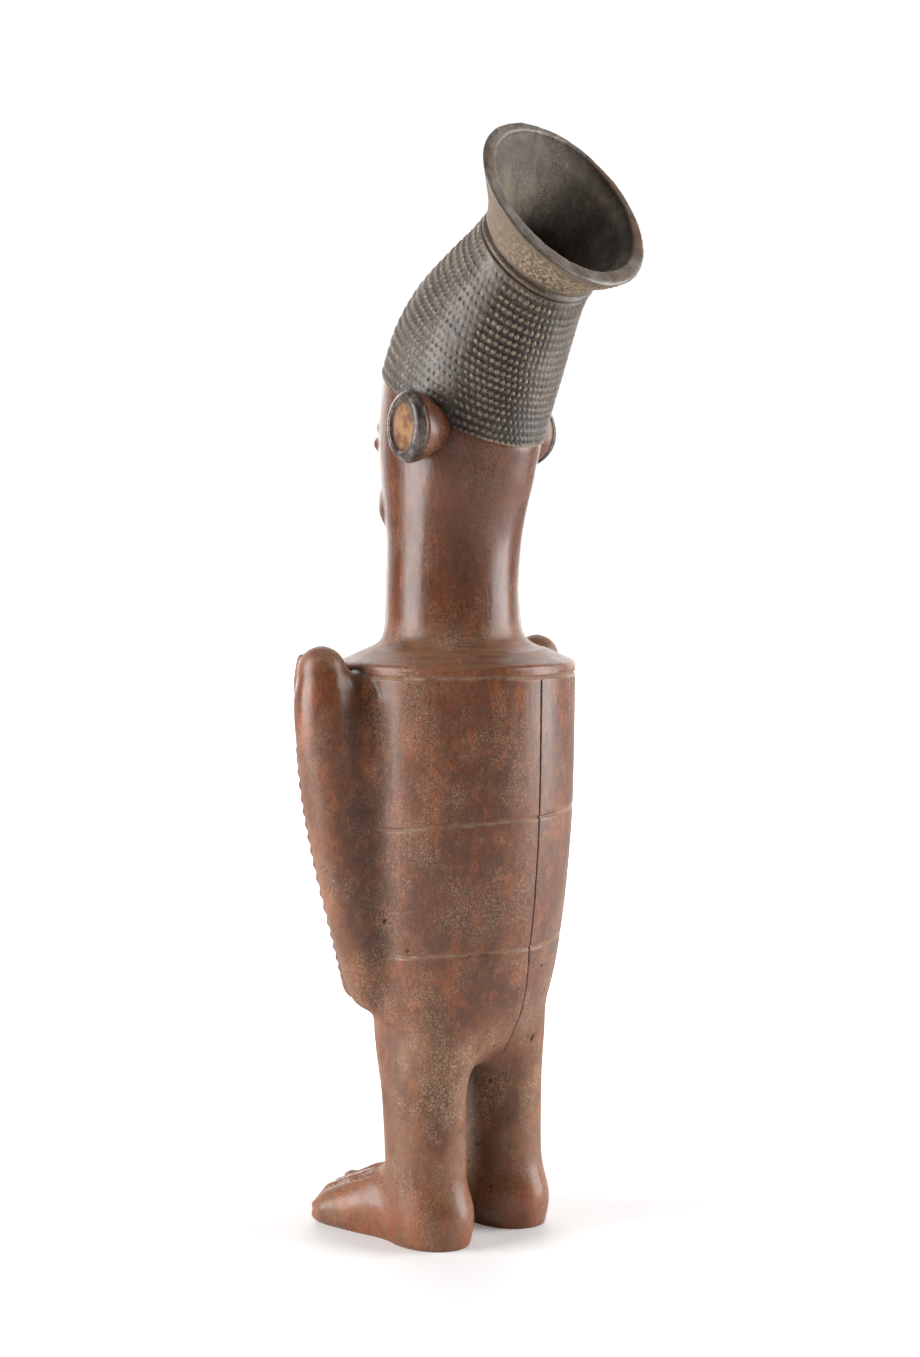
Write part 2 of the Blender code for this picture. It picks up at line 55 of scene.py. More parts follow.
# %% Sizes of the figure
MM = 0.001
AXIS_BACK = 13.7
FIGURE = Matrix.Scale(MM, 4) @ Matrix.Translation((0.0, -AXIS_BACK, 0.0))
WALL = 8.5
HAIR_RISE = 1.1
TRUNK = [(3.0, 79, 14.0, 13.0, 0), (2.5, 86, 28.0, 23.0, 0), (2.0, 96, 40.0, 31.0, 0), (1.5, 106, 43.8, 36.8, 0),
         (0.5, 120, 46.0, 43.0, 0), (0.0, 138, 47.9, 47.4, 0), (0.0, 162, 50.5, 50.5, 0),
         (0.0, 200, 53.2, 53.2, 0), (0.0, 261.5, 54.2, 54.2, 0)]
SHOULDER = [(0.0, 263.6, 53.8, 53.8, 0), (-0.6, 267.8, 44.2, 44.2, 0), (-1.6, 271.8, 35.0, 35.0, 0)]
NECK = [(-2.6, 278, 31.7, 31.7, 0), (-3.0, 298, 30.6, 30.6, 0), (-2.0, 318, 30.6, 31.2, 2),
        (-1.5, 335, 31.5, 34.5, 5), (-0.5, 350, 32.5, 38.5, 9), (1.0, 365, 33.2, 41.0, 17),
        (4.0, 379.5, 33.6, 43.0, 27)]
HAIR = [(4.0, 379.5, 33.6, 43.0, 27), (11.2, 396, 34.0, 42.0, 33), (21.3, 411.0, 33.4, 38.8, 39),
        (33.6, 424.9, 31.2, 33.4, 45), (44.2, 436.0, 28.8, 28.9, 49.5), (50.2, 442.2, 28.0, 27.4, 51)]
FUNNEL = [(50.2, 442.2, 28.0, 27.4, 51), (53.2, 445.6, 28.8, 28.2, 52), (58.3, 451.6, 32.2, 31.8, 54),
          (63.6, 457.6, 38.2, 38.4, 55.5), (67.2, 463.4, 43.0, 43.8, 56.6)]
UPPER_ARM = [(67.6, -15.6, 261, 10.8, 11.4), (66.4, -14.8, 252, 13.6, 14.2), (65.3, -14.5, 238, 14.6, 15.0),
             (62.8, -14.0, 215, 14.4, 14.8), (59.0, -12.4, 185, 13.8, 14.2), (53.2, -11.0, 155, 13.0, 13.4),
             (47.0, -10.0, 130, 12.0, 12.4), (42.0, -11.5, 115, 11.2, 11.6)]
FOREARM = [(39.6, -19.2, 117, 10.2, 10.6), (41.4, -23.6, 138, 10.8, 11.2), (47.2, -28.2, 170, 11.0, 11.4),
           (51.9, -31.2, 200, 11.1, 11.5), (54.2, -33.5, 226, 10.8, 10.8)]
PALM = [(52.0, -31.4, 217, 8.0, 7.6), (52.2, -31.8, 226, 10.6, 9.6), (53.7, -32.7, 238, 11.8, 8.2),
        (55.7, -31.7, 254, 12.2, 7.2)]
LEG = [(18.5, 1.0, 121, 9.0, 16.0), (20.5, 1.2, 110, 16.2, 26.4), (22.4, 2.0, 97, 18.9, 28.2),
       (23.4, 2.8, 83, 18.6, 25.0), (24.0, 3.8, 67, 17.9, 21.5), (24.3, 5.0, 30, 17.4, 20.0),
       (24.3, 6.2, 12, 18.7, 24.0), (24.3, 5.6, -3, 16.2, 21.2)]
FOOT = [(24.3, 6.0, 10.0, 18.0, 20.0), (24.8, -12.0, 12.0, 18.5, 21.0), (26.0, -30.0, 9.0, 20.5, 17.0),
        (27.5, -45.0, 6.5, 21.2, 12.4)]
TOES = [(13.2, 65.4, 1.30), (22.4, 64.4, 1.02), (30.4, 61.9, 1.00), (37.6, 58.0, 0.97), (43.6, 52.8, 0.94)]
print("sections:", len(TRUNK) + len(SHOULDER) + len(NECK) + len(HAIR) + len(FUNNEL), "of the tube")

# %% [markdown]
# Every lump of clay starts as a capped tube from bmesh's cone operator. Its upright edges are subdivided into
# rings, and each ring is put in place by one matrix. That keeps an even grid of four-sided faces, which bends
# and swells without pinching, where a stretched sphere would crowd its faces at the poles.

# %% A tube of clay laid through rings
def new_masks(bm, *names):
    """Gives the corners one value for each name, and returns the handles to read and write them by."""
    for name in names:
        bm.verts.layers.float.new(name)
    return [bm.verts.layers.float[name] for name in names]


def tube(rings, sides, marked=False):
    """A capped tube; a marked one remembers each corner's ring and its angle round the ring in degrees."""
    bm = bmesh.new()
    if marked:
        ring_mark, turn_mark = new_masks(bm, "ring", "turn")
    bmesh.ops.create_cone(bm, cap_ends=True, cap_tris=False, segments=sides, radius1=1.0, radius2=1.0, depth=1.0)
    upright = [edge for edge in bm.edges if abs(edge.verts[0].co.z - edge.verts[1].co.z) > 0.5]
    bmesh.ops.subdivide_edges(bm, edges=upright, cuts=len(rings) - 2, use_grid_fill=True)
    last = len(rings) - 1
    for vert in bm.verts:
        index = round((vert.co.z + 0.5) * last)
        if marked:
            vert[ring_mark] = index
            vert[turn_mark] = math.degrees(math.atan2(vert.co.y, vert.co.x))
        vert.co = rings[index] @ Vector((vert.co.x, vert.co.y, 0.0))
    bmesh.ops.recalc_face_normals(bm, faces=bm.faces)
    return bm


def between(sections, t):
    """A section at t along a list of sections, on a smooth curve through them all."""
    last = len(sections) - 1
    i = min(max(int(t), 0), last - 1)
    u = t - i
    result = []
    for a, b, c, d in zip(sections[max(i - 1, 0)], sections[i], sections[i + 1], sections[min(i + 2, last)]):
        curve = 2 * b + (c - a) * u + (2 * a - 5 * b + 4 * c - d) * u ** 2 + (3 * b - a - 3 * c + d) * u ** 3
        result.append(curve / 2)
    return tuple(result)


def smoothstep(low, high, value):
    t = min(1.0, max(0.0, (value - low) / (high - low)))
    return t * t * (3.0 - 2.0 * t)


def spread(sections, steps):
    count = (len(sections) - 1) * steps
    return [between(sections, i / steps) for i in range(count + 1)]


def body_ring(section, inward=0.0, along=0.0):
    """The matrix of one section of the bent tube, made smaller by inward and moved along its axis."""
    back, up, half_width, half_depth, tilt = section
    lean = Matrix.Rotation(-math.radians(tilt), 4, "X")
    size = Matrix.Diagonal((half_width - inward, half_depth - inward, 1.0, 1.0))
    return Matrix.Translation((0.0, back, up)) @ lean @ Matrix.Translation((0.0, 0.0, along)) @ size


def limb_rings(sections, side=(1.0, 0.0, 0.0)):
    """Rings square to the path of a limb; side gives the direction that each ring's first axis follows."""
    points = [Vector(section[:3]) for section in sections]
    side = Vector(side)
    rings = []
    for i, point in enumerate(points):
        along = (points[min(i + 1, len(points) - 1)] - points[max(i - 1, 0)]).normalized()
        across = (side - side.dot(along) * along).normalized()
        turn = Matrix((across, along.cross(across), along)).transposed().to_4x4()
        rings.append(Matrix.Translation(point) @ turn @ Matrix.Diagonal((*sections[i][3:5], 1.0, 1.0)))
    return rings


def domed(rings, start, end, steps=5):
    """Closes each end in a dome, whose height is a share of the ring's radius."""
    result = list(rings)
    for base, share, sign in ((rings[0], start, -1.0), (rings[-1], end, 1.0)):
        radius = base.col[0].length
        dome = []
        for i in range(1, steps + 1):
            angle = math.radians(86.0 * i / steps)
            rise = Matrix.Translation((0.0, 0.0, sign * share * radius * math.sin(angle)))
            dome.append(base @ rise @ Matrix.Diagonal((math.cos(angle), math.cos(angle), 1.0, 1.0)))
        if share:
            result = dome[::-1] + result if sign < 0 else result + dome
    return result


def add(target, lump, both_sides=False):
    """Puts a lump into the target bmesh, and its mirror image as well where the figure has two of it."""
    mesh = bpy.data.meshes.new("lump")
    lump.to_mesh(mesh)
    target.from_mesh(mesh)
    if both_sides:
        bmesh.ops.scale(lump, vec=(-1.0, 1.0, 1.0), verts=lump.verts)
        bmesh.ops.reverse_faces(lump, faces=lump.faces)
        lump.to_mesh(mesh)
        target.from_mesh(mesh)
    bpy.data.meshes.remove(mesh)
    lump.free()


def roll(target, sections, steps, start, end, sides, both_sides=True, side=(1.0, 0.0, 0.0)):
    """Adds a roll of clay through sections, with steps rings from one to the next and a dome on each end."""
    add(target, tube(domed(limb_rings(spread(sections, steps), side), start, end), sides), both_sides)


def open_ends(bm):
    """Takes the two caps off a tube, the only faces with more than four sides."""
    bmesh.ops.delete(bm, geom=[face for face in bm.faces if len(face.verts) > 4], context="FACES_ONLY")


def drop_marks(bm):
    """Takes away the marks of a marked tube, once its relief is made."""
    for name in ("ring", "turn"):
        bm.verts.layers.float.remove(bm.verts.layers.float[name])


def put(name, data):
    """A new object of the scene, at the origin."""
    obj = bpy.data.objects.new(name, data)
    bpy.context.scene.collection.objects.link(obj)
    return obj


def piece(name, bm):
    """Turns a bmesh in millimetres into an object in the solid's frame."""
    bmesh.ops.transform(bm, matrix=FIGURE, verts=bm.verts)
    mesh = bpy.data.meshes.new(name)
    bm.to_mesh(mesh)
    bm.free()
    return put(name, mesh)


print("one upper arm takes", len(domed(limb_rings(spread(UPPER_ARM, 6)), 1.0, 0.9)), "rings")

# %% [markdown]
# ## The body
# The potter coiled the trunk, neck and head as one tube, then worked on legs, arms and features and rubbed the
# joins away. Here the lumps are laid through each other in the same way, and a voxel Remesh modifier melts
# them into one skin, which leaves soft valleys at the joins as a thumb does. A Boolean would leave hard seams.

# %% Lay the tube of the trunk, neck and head
SKIN_UNDER_HAIR = 2.0
clay = bmesh.new()
trunk_rings = [body_ring(s) for s in spread(TRUNK, 4)]
shoulder_rings = [body_ring(s) for s in spread(SHOULDER + NECK, 4)]
under_hair = [body_ring(s, SKIN_UNDER_HAIR) for s in spread(HAIR[:3], 4)[1:5]]
add(clay, tube(trunk_rings + shoulder_rings + under_hair, 96))
print("tube", len(clay.verts), "corners")

# %% Legs, feet and toes
TOE_WIDTH, TOE_HEIGHT, TOE_ROOT = 8.6, 14.0, 44.0
roll(clay, LEG, 5, 0.5, 0.0, 40)
roll(clay, FOOT, 5, 0.9, 0.5, 40)
for left, tip, share in TOES:
    half = TOE_WIDTH / 2 * share
    high = TOE_HEIGHT / 2 * share
    toe = [(left * 0.90, 22.0 - TOE_ROOT, high * 1.5, half, high),
           (left * 0.97, 8.0 - TOE_ROOT, high * 1.2, half, high),
           (left, -TOE_ROOT, high, half, high), (left, half - tip, high * 0.85, half, high * 0.92)]
    roll(clay, toe, 4, 0.5, 0.8, 20)
print("with legs and feet", len(clay.verts), "corners")

# %% Upper arms, and the clay pressed in behind the forearms and into the armpits
FILLING_SHARE, FILLING_HALF = 0.72, 9.5
ARMPIT = [(57.6, -5.0, 257, 4.0, 4.0), (56.2, -3.0, 251, 5.4, 5.4), (55.0, -1.8, 243, 6.4, 6.4),
          (54.0, -1.2, 234, 6.6, 6.6), (52.6, -1.0, 205, 6.6, 6.6), (50.0, -0.6, 175, 6.2, 6.2),
          (46.5, -0.4, 150, 5.4, 5.4), (42.5, -1.5, 132, 4.6, 4.6)]
roll(clay, UPPER_ARM, 6, 1.05, 0.9, 40)
filling = []
for i in range(len(FOREARM)):
    lower, upper = FOREARM[i], UPPER_ARM[len(UPPER_ARM) - 1 - i]
    left, back = (upper[k] + (lower[k] - upper[k]) * FILLING_SHARE for k in (0, 1))
    filling.append((left * 0.90, back, lower[2], FILLING_HALF, FILLING_HALF))
roll(clay, filling, 4, 0.3, 0.3, 24)
roll(clay, ARMPIT, 3, 0.6, 0.5, 20)
print("with arms", len(clay.verts), "corners")

# %% [markdown]
# The face is a plain, calm one of this script's own, set out on the drawing book's thirds: a third from hairline
# to brow, a third to the base of the nose, a third to the chin. Its lumps are laid on first, and its lines
# are pressed in with fine tools once the skin is one.

# %% Lumps of the face
CHIN_UP, HAIRLINE_UP = 317.0, 398.0
THIRD = (HAIRLINE_UP - CHIN_UP) / 3


def head_front(up):
    """How far back the front of the neck and head lies at a height."""
    fronts = []
    for back, centre, _, half_depth, tilt in NECK + HAIR[1:]:
        lean = math.radians(tilt)
        fronts.append((centre + half_depth * math.sin(lean), back - half_depth * math.cos(lean)))
    return float(np.interp(up, [front[0] for front in fronts], [front[1] for front in fronts]))


def on_face(left, thirds, forward):
    up = CHIN_UP + thirds * THIRD
    return (left, head_front(up) - forward, up)


def egg(left, thirds, forward, half_sizes):
    bm = bmesh.new()
    place = Matrix.Translation(on_face(left, thirds, forward)) @ Matrix.Diagonal((*half_sizes, 1.0))
    bmesh.ops.create_uvsphere(bm, u_segments=32, v_segments=20, radius=1.0, matrix=place)
    return bm


NOSE = [(0.0, 1.93, -2.6, 3.4, 4.2), (0.0, 1.59, -0.2, 3.6, 5.0), (0.0, 1.30, 3.0, 4.8, 6.4),
        (0.0, 1.15, 3.9, 6.2, 6.2)]
BROW = [(5.0, 1.90, -3.4, 1.7, 1.7), (10.0, 2.03, -3.2, 1.8, 1.8), (15.5, 2.07, -5.2, 1.8, 1.8),
        (20.5, 2.00, -8.8, 1.7, 1.7), (24.0, 1.90, -12.0, 1.4, 1.4)]
roll(clay, [(*on_face(*spot[:3]), *spot[3:]) for spot in NOSE], 5, 0.6, 0.5, 24, False)
for left, thirds, forward, half_sizes in (
        (0.0, 0.70, -19.6, (26.5, 24.2, 23.0)), (0.0, 0.27, -4.5, (12.0, 10.2, 7.6)),
        (0.0, 0.705, 4.0, (10.4, 4.4, 2.6)), (0.0, 0.56, 4.0, (9.0, 4.6, 2.9))):
    add(clay, egg(left, thirds, forward, half_sizes))
add(clay, egg(4.8, 1.12, 1.1, (3.4, 4.4, 2.9)), True)
add(clay, egg(14.5, 1.68, -7.0, (7.6, 5.2, 4.3)), True)
roll(clay, [(*on_face(*spot[:3]), *spot[3:]) for spot in BROW], 4, 0.9, 0.9, 16, True, (0.0, 0.0, 1.0))
print("with the face", len(clay.verts), "corners")

# %% Melt the lumps into one skin
VOXEL = 1.6 * MM


def fused(obj, voxel, rounds):
    """Replaces the object's mesh by one even skin, rubbed smooth."""
    remesh = obj.modifiers.new("melt", "REMESH")
    remesh.mode = "VOXEL"
    remesh.voxel_size = voxel
    smooth = obj.modifiers.new("rub", "SMOOTH")
    smooth.factor = 0.5
    smooth.iterations = rounds
    graph = bpy.context.evaluated_depsgraph_get()
    mesh = bpy.data.meshes.new_from_object(obj.evaluated_get(graph))
    obj.modifiers.clear()
    obj.data = mesh
    return obj


body = fused(piece("clay_body", clay), VOXEL, 4)
print("one skin of", len(body.data.polygons), "faces")

# %% [markdown]
# The lines round the trunk and down the back were drawn in the leather-hard clay with a point. Each line gets
# loops of its own with bisect_plane, at its edges, half way in and at its middle, and the loops are then pushed
# in to the shape of the groove. How deep a corner is goes into an attribute, so that pale dust can fill it.

# %% Cut the soles flat and score the lines
LINES = [(258.5, 0.0), (193.5, 4.3), (135.5, 3.0)]
LINE_FALL_AXIS = Vector((0.713, 0.700, 0.0))
LINE_HALF, LINE_DEPTH = 0.95, 0.8
SPINE_HALF, SPINE_DEPTH = 0.45, 0.9
WALL_SLACK = 2.2                      # how far from the trunk's round wall a line may still run
CRISP_REACH, CRISP_SHARE = 2.0, 0.9   # how near the shoulder's outline a corner is drawn to it, and how far

bm = bmesh.new()
bm.from_mesh(body.data)
bmesh.ops.transform(bm, matrix=FIGURE.inverted(), verts=bm.verts)
line_dust, dark_line, pit = new_masks(bm, "line_dust", "dark_line", "pit")


def rub(bm, verts, rounds):
    """Rubs the skin smooth at these corners, as with a wet thumb, and gives their number."""
    for _ in range(rounds):
        bmesh.ops.smooth_vert(bm, verts=verts, factor=0.5, use_axis_x=True, use_axis_y=True, use_axis_z=True)
    return len(verts)


def within(bm, x, y, z):
    """The corners inside a box, on both sides of the figure."""
    return [v for v in bm.verts if x[0] < abs(v.co.x) < x[1] and y[0] < v.co.y < y[1] and z[0] < v.co.z < z[1]]


def valleys(bm, verts, threshold, grow):
    """Those in the valleys between lumps, where the middle of a corner's neighbours lies outside the skin."""
    bm.normal_update()
    found = set()
    for vert in verts:
        middle = sum((edge.other_vert(vert).co for edge in vert.link_edges), Vector()) / len(vert.link_edges)
        if (middle - vert.co).dot(vert.normal) > threshold:
            found.add(vert)
    for _ in range(grow):
        found |= {edge.other_vert(vert) for vert in list(found) for edge in vert.link_edges}
    return list(found)


def cut_off(bm, point, direction):
    """Cuts away what lies beyond a plane, and closes the opening flat."""
    geom = bm.verts[:] + bm.edges[:] + bm.faces[:]
    cut = bmesh.ops.bisect_plane(bm, geom=geom, dist=0.0001, plane_co=point, plane_no=direction, clear_outer=True)
    edges = [item for item in cut["geom_cut"] if isinstance(item, bmesh.types.BMEdge)]
    bmesh.ops.holes_fill(bm, edges=edges, sides=0)


def score(bm, point, direction, half, keep):
    """Adds loops across the faces that keep() chooses: at a line's edges, half way in and at its middle."""
    direction = direction.normalized()
    for share in (-1.0, -0.5, 0.0, 0.5, 1.0):
        chosen = [face for face in bm.faces if keep(face.calc_center_median())]
        geom = list({edge for face in chosen for edge in face.edges}) + chosen
        geom += list({vert for face in chosen for vert in face.verts})
        bmesh.ops.bisect_plane(bm, geom=geom, dist=0.02, plane_co=point + direction * half * share,
                               plane_no=direction)


cut_off(bm, Vector((0.0, 0.0, 0.0)), Vector((0.0, 0.0, -1.0)))
ANY = (-1000.0, 1000.0)
HIPS = (((3.0, 1000.0), ANY, (84.0, 122.0), 24), ((2.0, 1000.0), ANY, (78.0, 128.0), 10),
        ((-1.0, 17.5), (-30.0, 1000.0), (50.0, 103.0), 90))
hips = sum(rub(bm, within(bm, x, y, z), rounds) for x, y, z, rounds in HIPS)
joins = rub(bm, valleys(bm, within(bm, ANY, ANY, (4.0, 262.0)), 0.02, 4), 24)
joins += rub(bm, within(bm, (48.0, 63.0), (-11.0, 12.0), (205.0, 259.0)), 30)
print("rubbed", hips, "corners of the hips and", joins, "of the joins")

# The potter ran a flat rib round the shoulder, so its edge is crisp: corners near it go back onto its outline.
SHOULDER_OUTLINE = [(s[3], s[1]) for s in TRUNK[-2:]] + [(s[3], s[1]) for s in SHOULDER]
crisp = 0
for vert in within(bm, ANY, ANY, (250.0, 270.0)):
    out = math.hypot(vert.co.x, vert.co.y)
    best = None
    for (r0, z0), (r1, z1) in zip(SHOULDER_OUTLINE, SHOULDER_OUTLINE[1:]):
        run = Vector((r1 - r0, z1 - z0))
        t = min(1.0, max(0.0, Vector((out - r0, vert.co.z - z0)).dot(run) / run.length_squared))
        place = Vector((r0, z0)) + run * t
        gap = (Vector((out, vert.co.z)) - place).length
        if best is None or gap < best[0]:
            best = (gap, place)
    if best[0] < CRISP_REACH and out > 40.0:
        share = CRISP_SHARE * min(1.0, CRISP_REACH - best[0])
        widen = 1.0 + share * (best[1].x / out - 1.0)
        vert.co = (vert.co.x * widen, vert.co.y * widen, vert.co.z + share * (best[1].y - vert.co.z))
        crisp += 1
print("shoulder edge", crisp, "corners")


def on_trunk(place):
    """True for a place on the trunk's own round wall, not on an arm or in the soft valley beside it."""
    section = between(TRUNK, float(np.interp(place.z, [s[1] for s in TRUNK], range(len(TRUNK)))))
    across = math.hypot(place.x / section[2], (place.y - section[0]) / section[3])
    return abs(across - 1.0) * section[3] < WALL_SLACK


for up, fall in LINES:
    point = Vector((0.0, 0.0, up))
    direction = Matrix.Rotation(math.radians(fall), 3, LINE_FALL_AXIS) @ Vector((0.0, 0.0, 1.0))
    score(bm, point, direction, LINE_HALF,
          lambda c: abs((c - point).dot(direction)) < 4.0 and math.hypot(c.x, c.y) < 58.0)
    for vert in bm.verts:
        off = abs((vert.co - point).dot(direction))
        if off < LINE_HALF and on_trunk(vert.co):
            depth = 1.0 - (off / LINE_HALF) ** 2
            inward = Vector((vert.co.x, vert.co.y, 0.0)).normalized()
            vert.co -= inward * LINE_DEPTH * depth
            vert[line_dust] = max(vert[line_dust], depth ** 0.5)
SPINE_TOP, SPINE_FOOT = LINES[0][0] - 1.0, 84.0
SPINE_BEND, SPINE_LEAN = 135.0, 0.13
point = Vector((0.0, 0.0, SPINE_BEND))
for top, foot, lean in ((SPINE_TOP, SPINE_BEND, 0.0), (SPINE_BEND, SPINE_FOOT, SPINE_LEAN)):
    direction = Vector((1.0, 0.0, -lean)).normalized()
    score(bm, point, direction, SPINE_HALF,
          lambda c: abs((c - point).dot(direction)) < 3.0 and c.y > 0.0 and foot - 1.0 < c.z < top + 1.0)
    for vert in bm.verts:
        off = abs((vert.co - point).dot(direction))
        if off <= SPINE_HALF + 0.01 and vert.co.y > 0.0 and foot < vert.co.z <= top and not vert[dark_line]:
            depth = max(0.0, 1.0 - off / SPINE_HALF)
            vert.co.y -= SPINE_DEPTH * depth
            vert[dark_line] = depth ** 0.5
print("scored skin", len(bm.faces), "faces")

# %% Press in small pits, a crack and the face's lines
def press(bm, path, half, depth, mask=None, cuts=1):
    """Pushes the skin in along a path, after making the faces beside it finer."""
    points = [Vector(p) for p in path]

    def distance(place):
        best = 1e9
        for a, b in zip(points, points[1:] or points):
            run = b - a
            t = 0.0 if run.length < 1e-6 else min(1.0, max(0.0, (place - a).dot(run) / run.length_squared))
            best = min(best, (place - a - run * t).length)
        return best

    near = [face for face in bm.faces if distance(face.calc_center_median()) < half + 1.6]
    if cuts:
        edges = list({edge for face in near for edge in face.edges})
        bmesh.ops.subdivide_edges(bm, edges=edges, cuts=cuts, use_grid_fill=True)
    bm.normal_update()
    moved = []
    for vert in bm.verts:
        if (vert.co - points[0]).length > 90.0:
            continue
        share = distance(vert.co) / half
        if share < 1.0:
            moved.append((vert, (1.0 - share * share) ** 1.5))
    for vert, amount in moved:
        vert.co -= vert.normal * depth * amount
        if mask is not None:
            vert[mask] = max(vert[mask], amount)
    return len(moved)


def on_foot(left, back):
    """The highest place of the left foot's skin near a spot."""
    near = [vert.co for vert in bm.verts if abs(vert.co.x - left) < 1.6 and abs(vert.co.y - back) < 1.6
            and vert.co.z < 40.0]
    return max(near, key=lambda c: c.z).copy() if near else Vector((left, back, 12.0))


grooves = 0
for (a, tip_a, share_a), (b, tip_b, share_b) in zip(TOES, TOES[1:]):
    gap = (a + TOE_WIDTH / 2 * share_a + b - TOE_WIDTH / 2 * share_b) / 2
    tip = min(tip_a, tip_b)
    for side in (1.0, -1.0):
        path = [on_foot(side * gap * (0.92 + 0.08 * t), -20.0 - (tip - 22.0) * t)
                for t in (0.0, 0.25, 0.5, 0.75, 0.92)]
        path += [Vector((side * gap, -tip - 0.5, up)) for up in (6.5, 1.5)]
        grooves += press(bm, path, 2.3, 3.0)
print("toe grooves", grooves, "corners pushed in")


def on_clay(left, back, up):
    """The corner of the skin nearest to a spot."""
    spot = Vector((left, back, up))
    return min(bm.verts, key=lambda vert: (vert.co - spot).length_squared).co.copy()


PITS = [((-10.7, 43.8, 126.3), 1.2), ((2.2, 27.7, 88.7), 1.1), ((-8.2, 13.9, 68.4), 1.2), ((-7.0, 6.8, 37.1), 1.3),
        ((-7.5, 0.0, 28.7), 1.1), ((-7.7, 14.4, 20.6), 1.0), ((45.0, 15.8, 136.7), 1.0), ((49.3, 6.1, 149.4), 1.3)]
pressed = press(bm, [on_clay(-21.0, 28.1, 90.2), on_clay(-20.6, 28.3, 88.6)], 0.8, 0.8, mask=pit, cuts=2)
for place, half in PITS:
    pressed += press(bm, [on_clay(*place)], half, 0.9, mask=pit, cuts=2)
press(bm, [on_clay(49.3, 7.4, 154.0), on_clay(48.0, 13.0, 154.6), on_clay(46.2, 18.6, 155.1)], 0.7, 0.25)
print("pits", pressed, "corners pushed in")

FACE_BACK, FACE_HALF, FACE_FOOT, FACE_TOP = -24.0, 27.0, CHIN_UP - 4.0, 376.0
edges = set()
for face in bm.faces:
    middle = face.calc_center_median()
    if middle.y < FACE_BACK and abs(middle.x) < FACE_HALF and FACE_FOOT < middle.z < FACE_TOP:
        edges.update(face.edges)
bmesh.ops.subdivide_edges(bm, edges=list(edges), cuts=1, use_grid_fill=True)
fine = within(bm, (-1.0, FACE_HALF), (-1000.0, FACE_BACK), (FACE_FOOT, FACE_TOP))
rub(bm, fine, 2)


def on_skin(left, thirds):
    """The place on the face's own front skin, for a distance left and a height in thirds."""
    up = CHIN_UP + thirds * THIRD
    nearest = min(fine, key=lambda vert: abs(vert.co.x - left) + abs(vert.co.z - up) + (vert.co.y + 60) * 0.02)
    return nearest.co.copy()


MOUTH = [on_skin(left, 0.632 - 0.00035 * left * left) for left in (-9.0, -6.0, -3.0, 0.0, 3.0, 6.0, 9.0)]
press(bm, MOUTH, 1.3, 1.5, cuts=0)
for side in (-1.0, 1.0):
    lid = [on_skin(side * left, 1.66 + 0.0012 * (left - 14.5) ** 2) for left in (8.5, 11.0, 14.0, 17.0, 20.0)]
    press(bm, lid, 0.9, 0.9, mask=dark_line, cuts=0)
    press(bm, [on_skin(side * 3.4, 1.03)], 1.5, 1.6, mask=dark_line, cuts=0)
print("skin with its marks", len(bm.faces), "faces")

# %% [markdown]
# The vessel is hollow. The opening from the head down into the trunk is cut with the inner surface of the wall,
# a plain tube that stands out of the top, with one Boolean on the finished skin.

# %% Hollow the body
bmesh.ops.recalc_face_normals(bm, faces=bm.faces)
bmesh.ops.transform(bm, matrix=FIGURE, verts=bm.verts)
bm.to_mesh(body.data)
bm.free()
inside = [(0.0, 104.5, 18.0, 16.0, 0)] + [s for s in spread(TRUNK, 2) if 112 < s[1] < 250]
inside = [inside[0]] + [(s[0], s[1], s[2] - WALL, s[3] - WALL, s[4]) for s in inside[1:]]
inside += [(0.0, 256.0, 33.5, 33.5, 0), (-1.0, 271.5, 25.0, 25.0, 0)]
inside += [(s[0], s[1], s[2] - WALL, s[3] - WALL, s[4]) for s in NECK[1:] + HAIR[1:3]]
hollow = piece("hollow", tube([body_ring(s) for s in inside], 48))
cut = body.modifiers.new("hollow", "BOOLEAN")
cut.operation = "DIFFERENCE"
cut.object = hollow
cut.solver = "FAST"
graph = bpy.context.evaluated_depsgraph_get()
body.data = bpy.data.meshes.new_from_object(body.evaluated_get(graph))
body.modifiers.clear()
bpy.data.objects.remove(hollow)
print("hollow body", len(body.data.polygons), "faces")

# %% [markdown]
# ## The forearms
# Each forearm is a roll of clay with twenty raised rings, bent back up in front of the upper arm, and ends
# in a hand laid flat on the shoulder. The rings are finer than the body's skin can carry, so the forearms are a
# piece of their own, melted at a finer grain.

# %% Forearms, palms and fingers
RING_COUNT, RING_RISE = 20, 1.0
arm = bmesh.new()
ringed = []
steps = RING_COUNT * 8
for i in range(steps + 1):
    t = i / steps
    section = between(FOREARM, (len(FOREARM) - 1) * t)
    wave = (1.0 - math.cos(2 * math.pi * RING_COUNT * t)) / 2
    fade = min(1.0, 8.0 * t, 8.0 * (1.0 - t))
    rise = RING_RISE * (wave ** 0.8 - 0.5) * fade
    ringed.append((*section[:3], section[3] + rise, section[4] + rise))
add(arm, tube(domed(limb_rings(ringed), 0.8, 0.3), 40), True)
roll(arm, PALM, 5, 0.2, 0.4, 32)
FINGERS = [(-8.6, 268.0), (-2.9, 271.5), (2.9, 270.0), (8.6, 268.5)]
FINGER_HALF = 3.1
knuckle_left, knuckle_back, knuckle_up = PALM[-1][:3]
digits = [((offset, -2.0, -12.0, 1.0), (offset, -2.6, 2.0, 1.0), (offset, -0.5, tip - FINGER_HALF - knuckle_up, 0.95))
          for offset, tip in FINGERS]
digits.append(((-6.0, -1.5, -18.0, 1.0), (-12.0, -2.0, -8.0, 1.0), (-14.5, -0.5, 1.0, 1.0)))
for digit in digits:
    path = [(knuckle_left + left, knuckle_back + back, knuckle_up + up, FINGER_HALF * share, FINGER_HALF * share)
            for left, back, up, share in digit]
    roll(arm, path, 4, 0.5, 0.8, 16)
forearms = fused(piece("forearms", arm), 0.85 * MM, 2)
print("forearms", len(forearms.data.polygons), "faces")

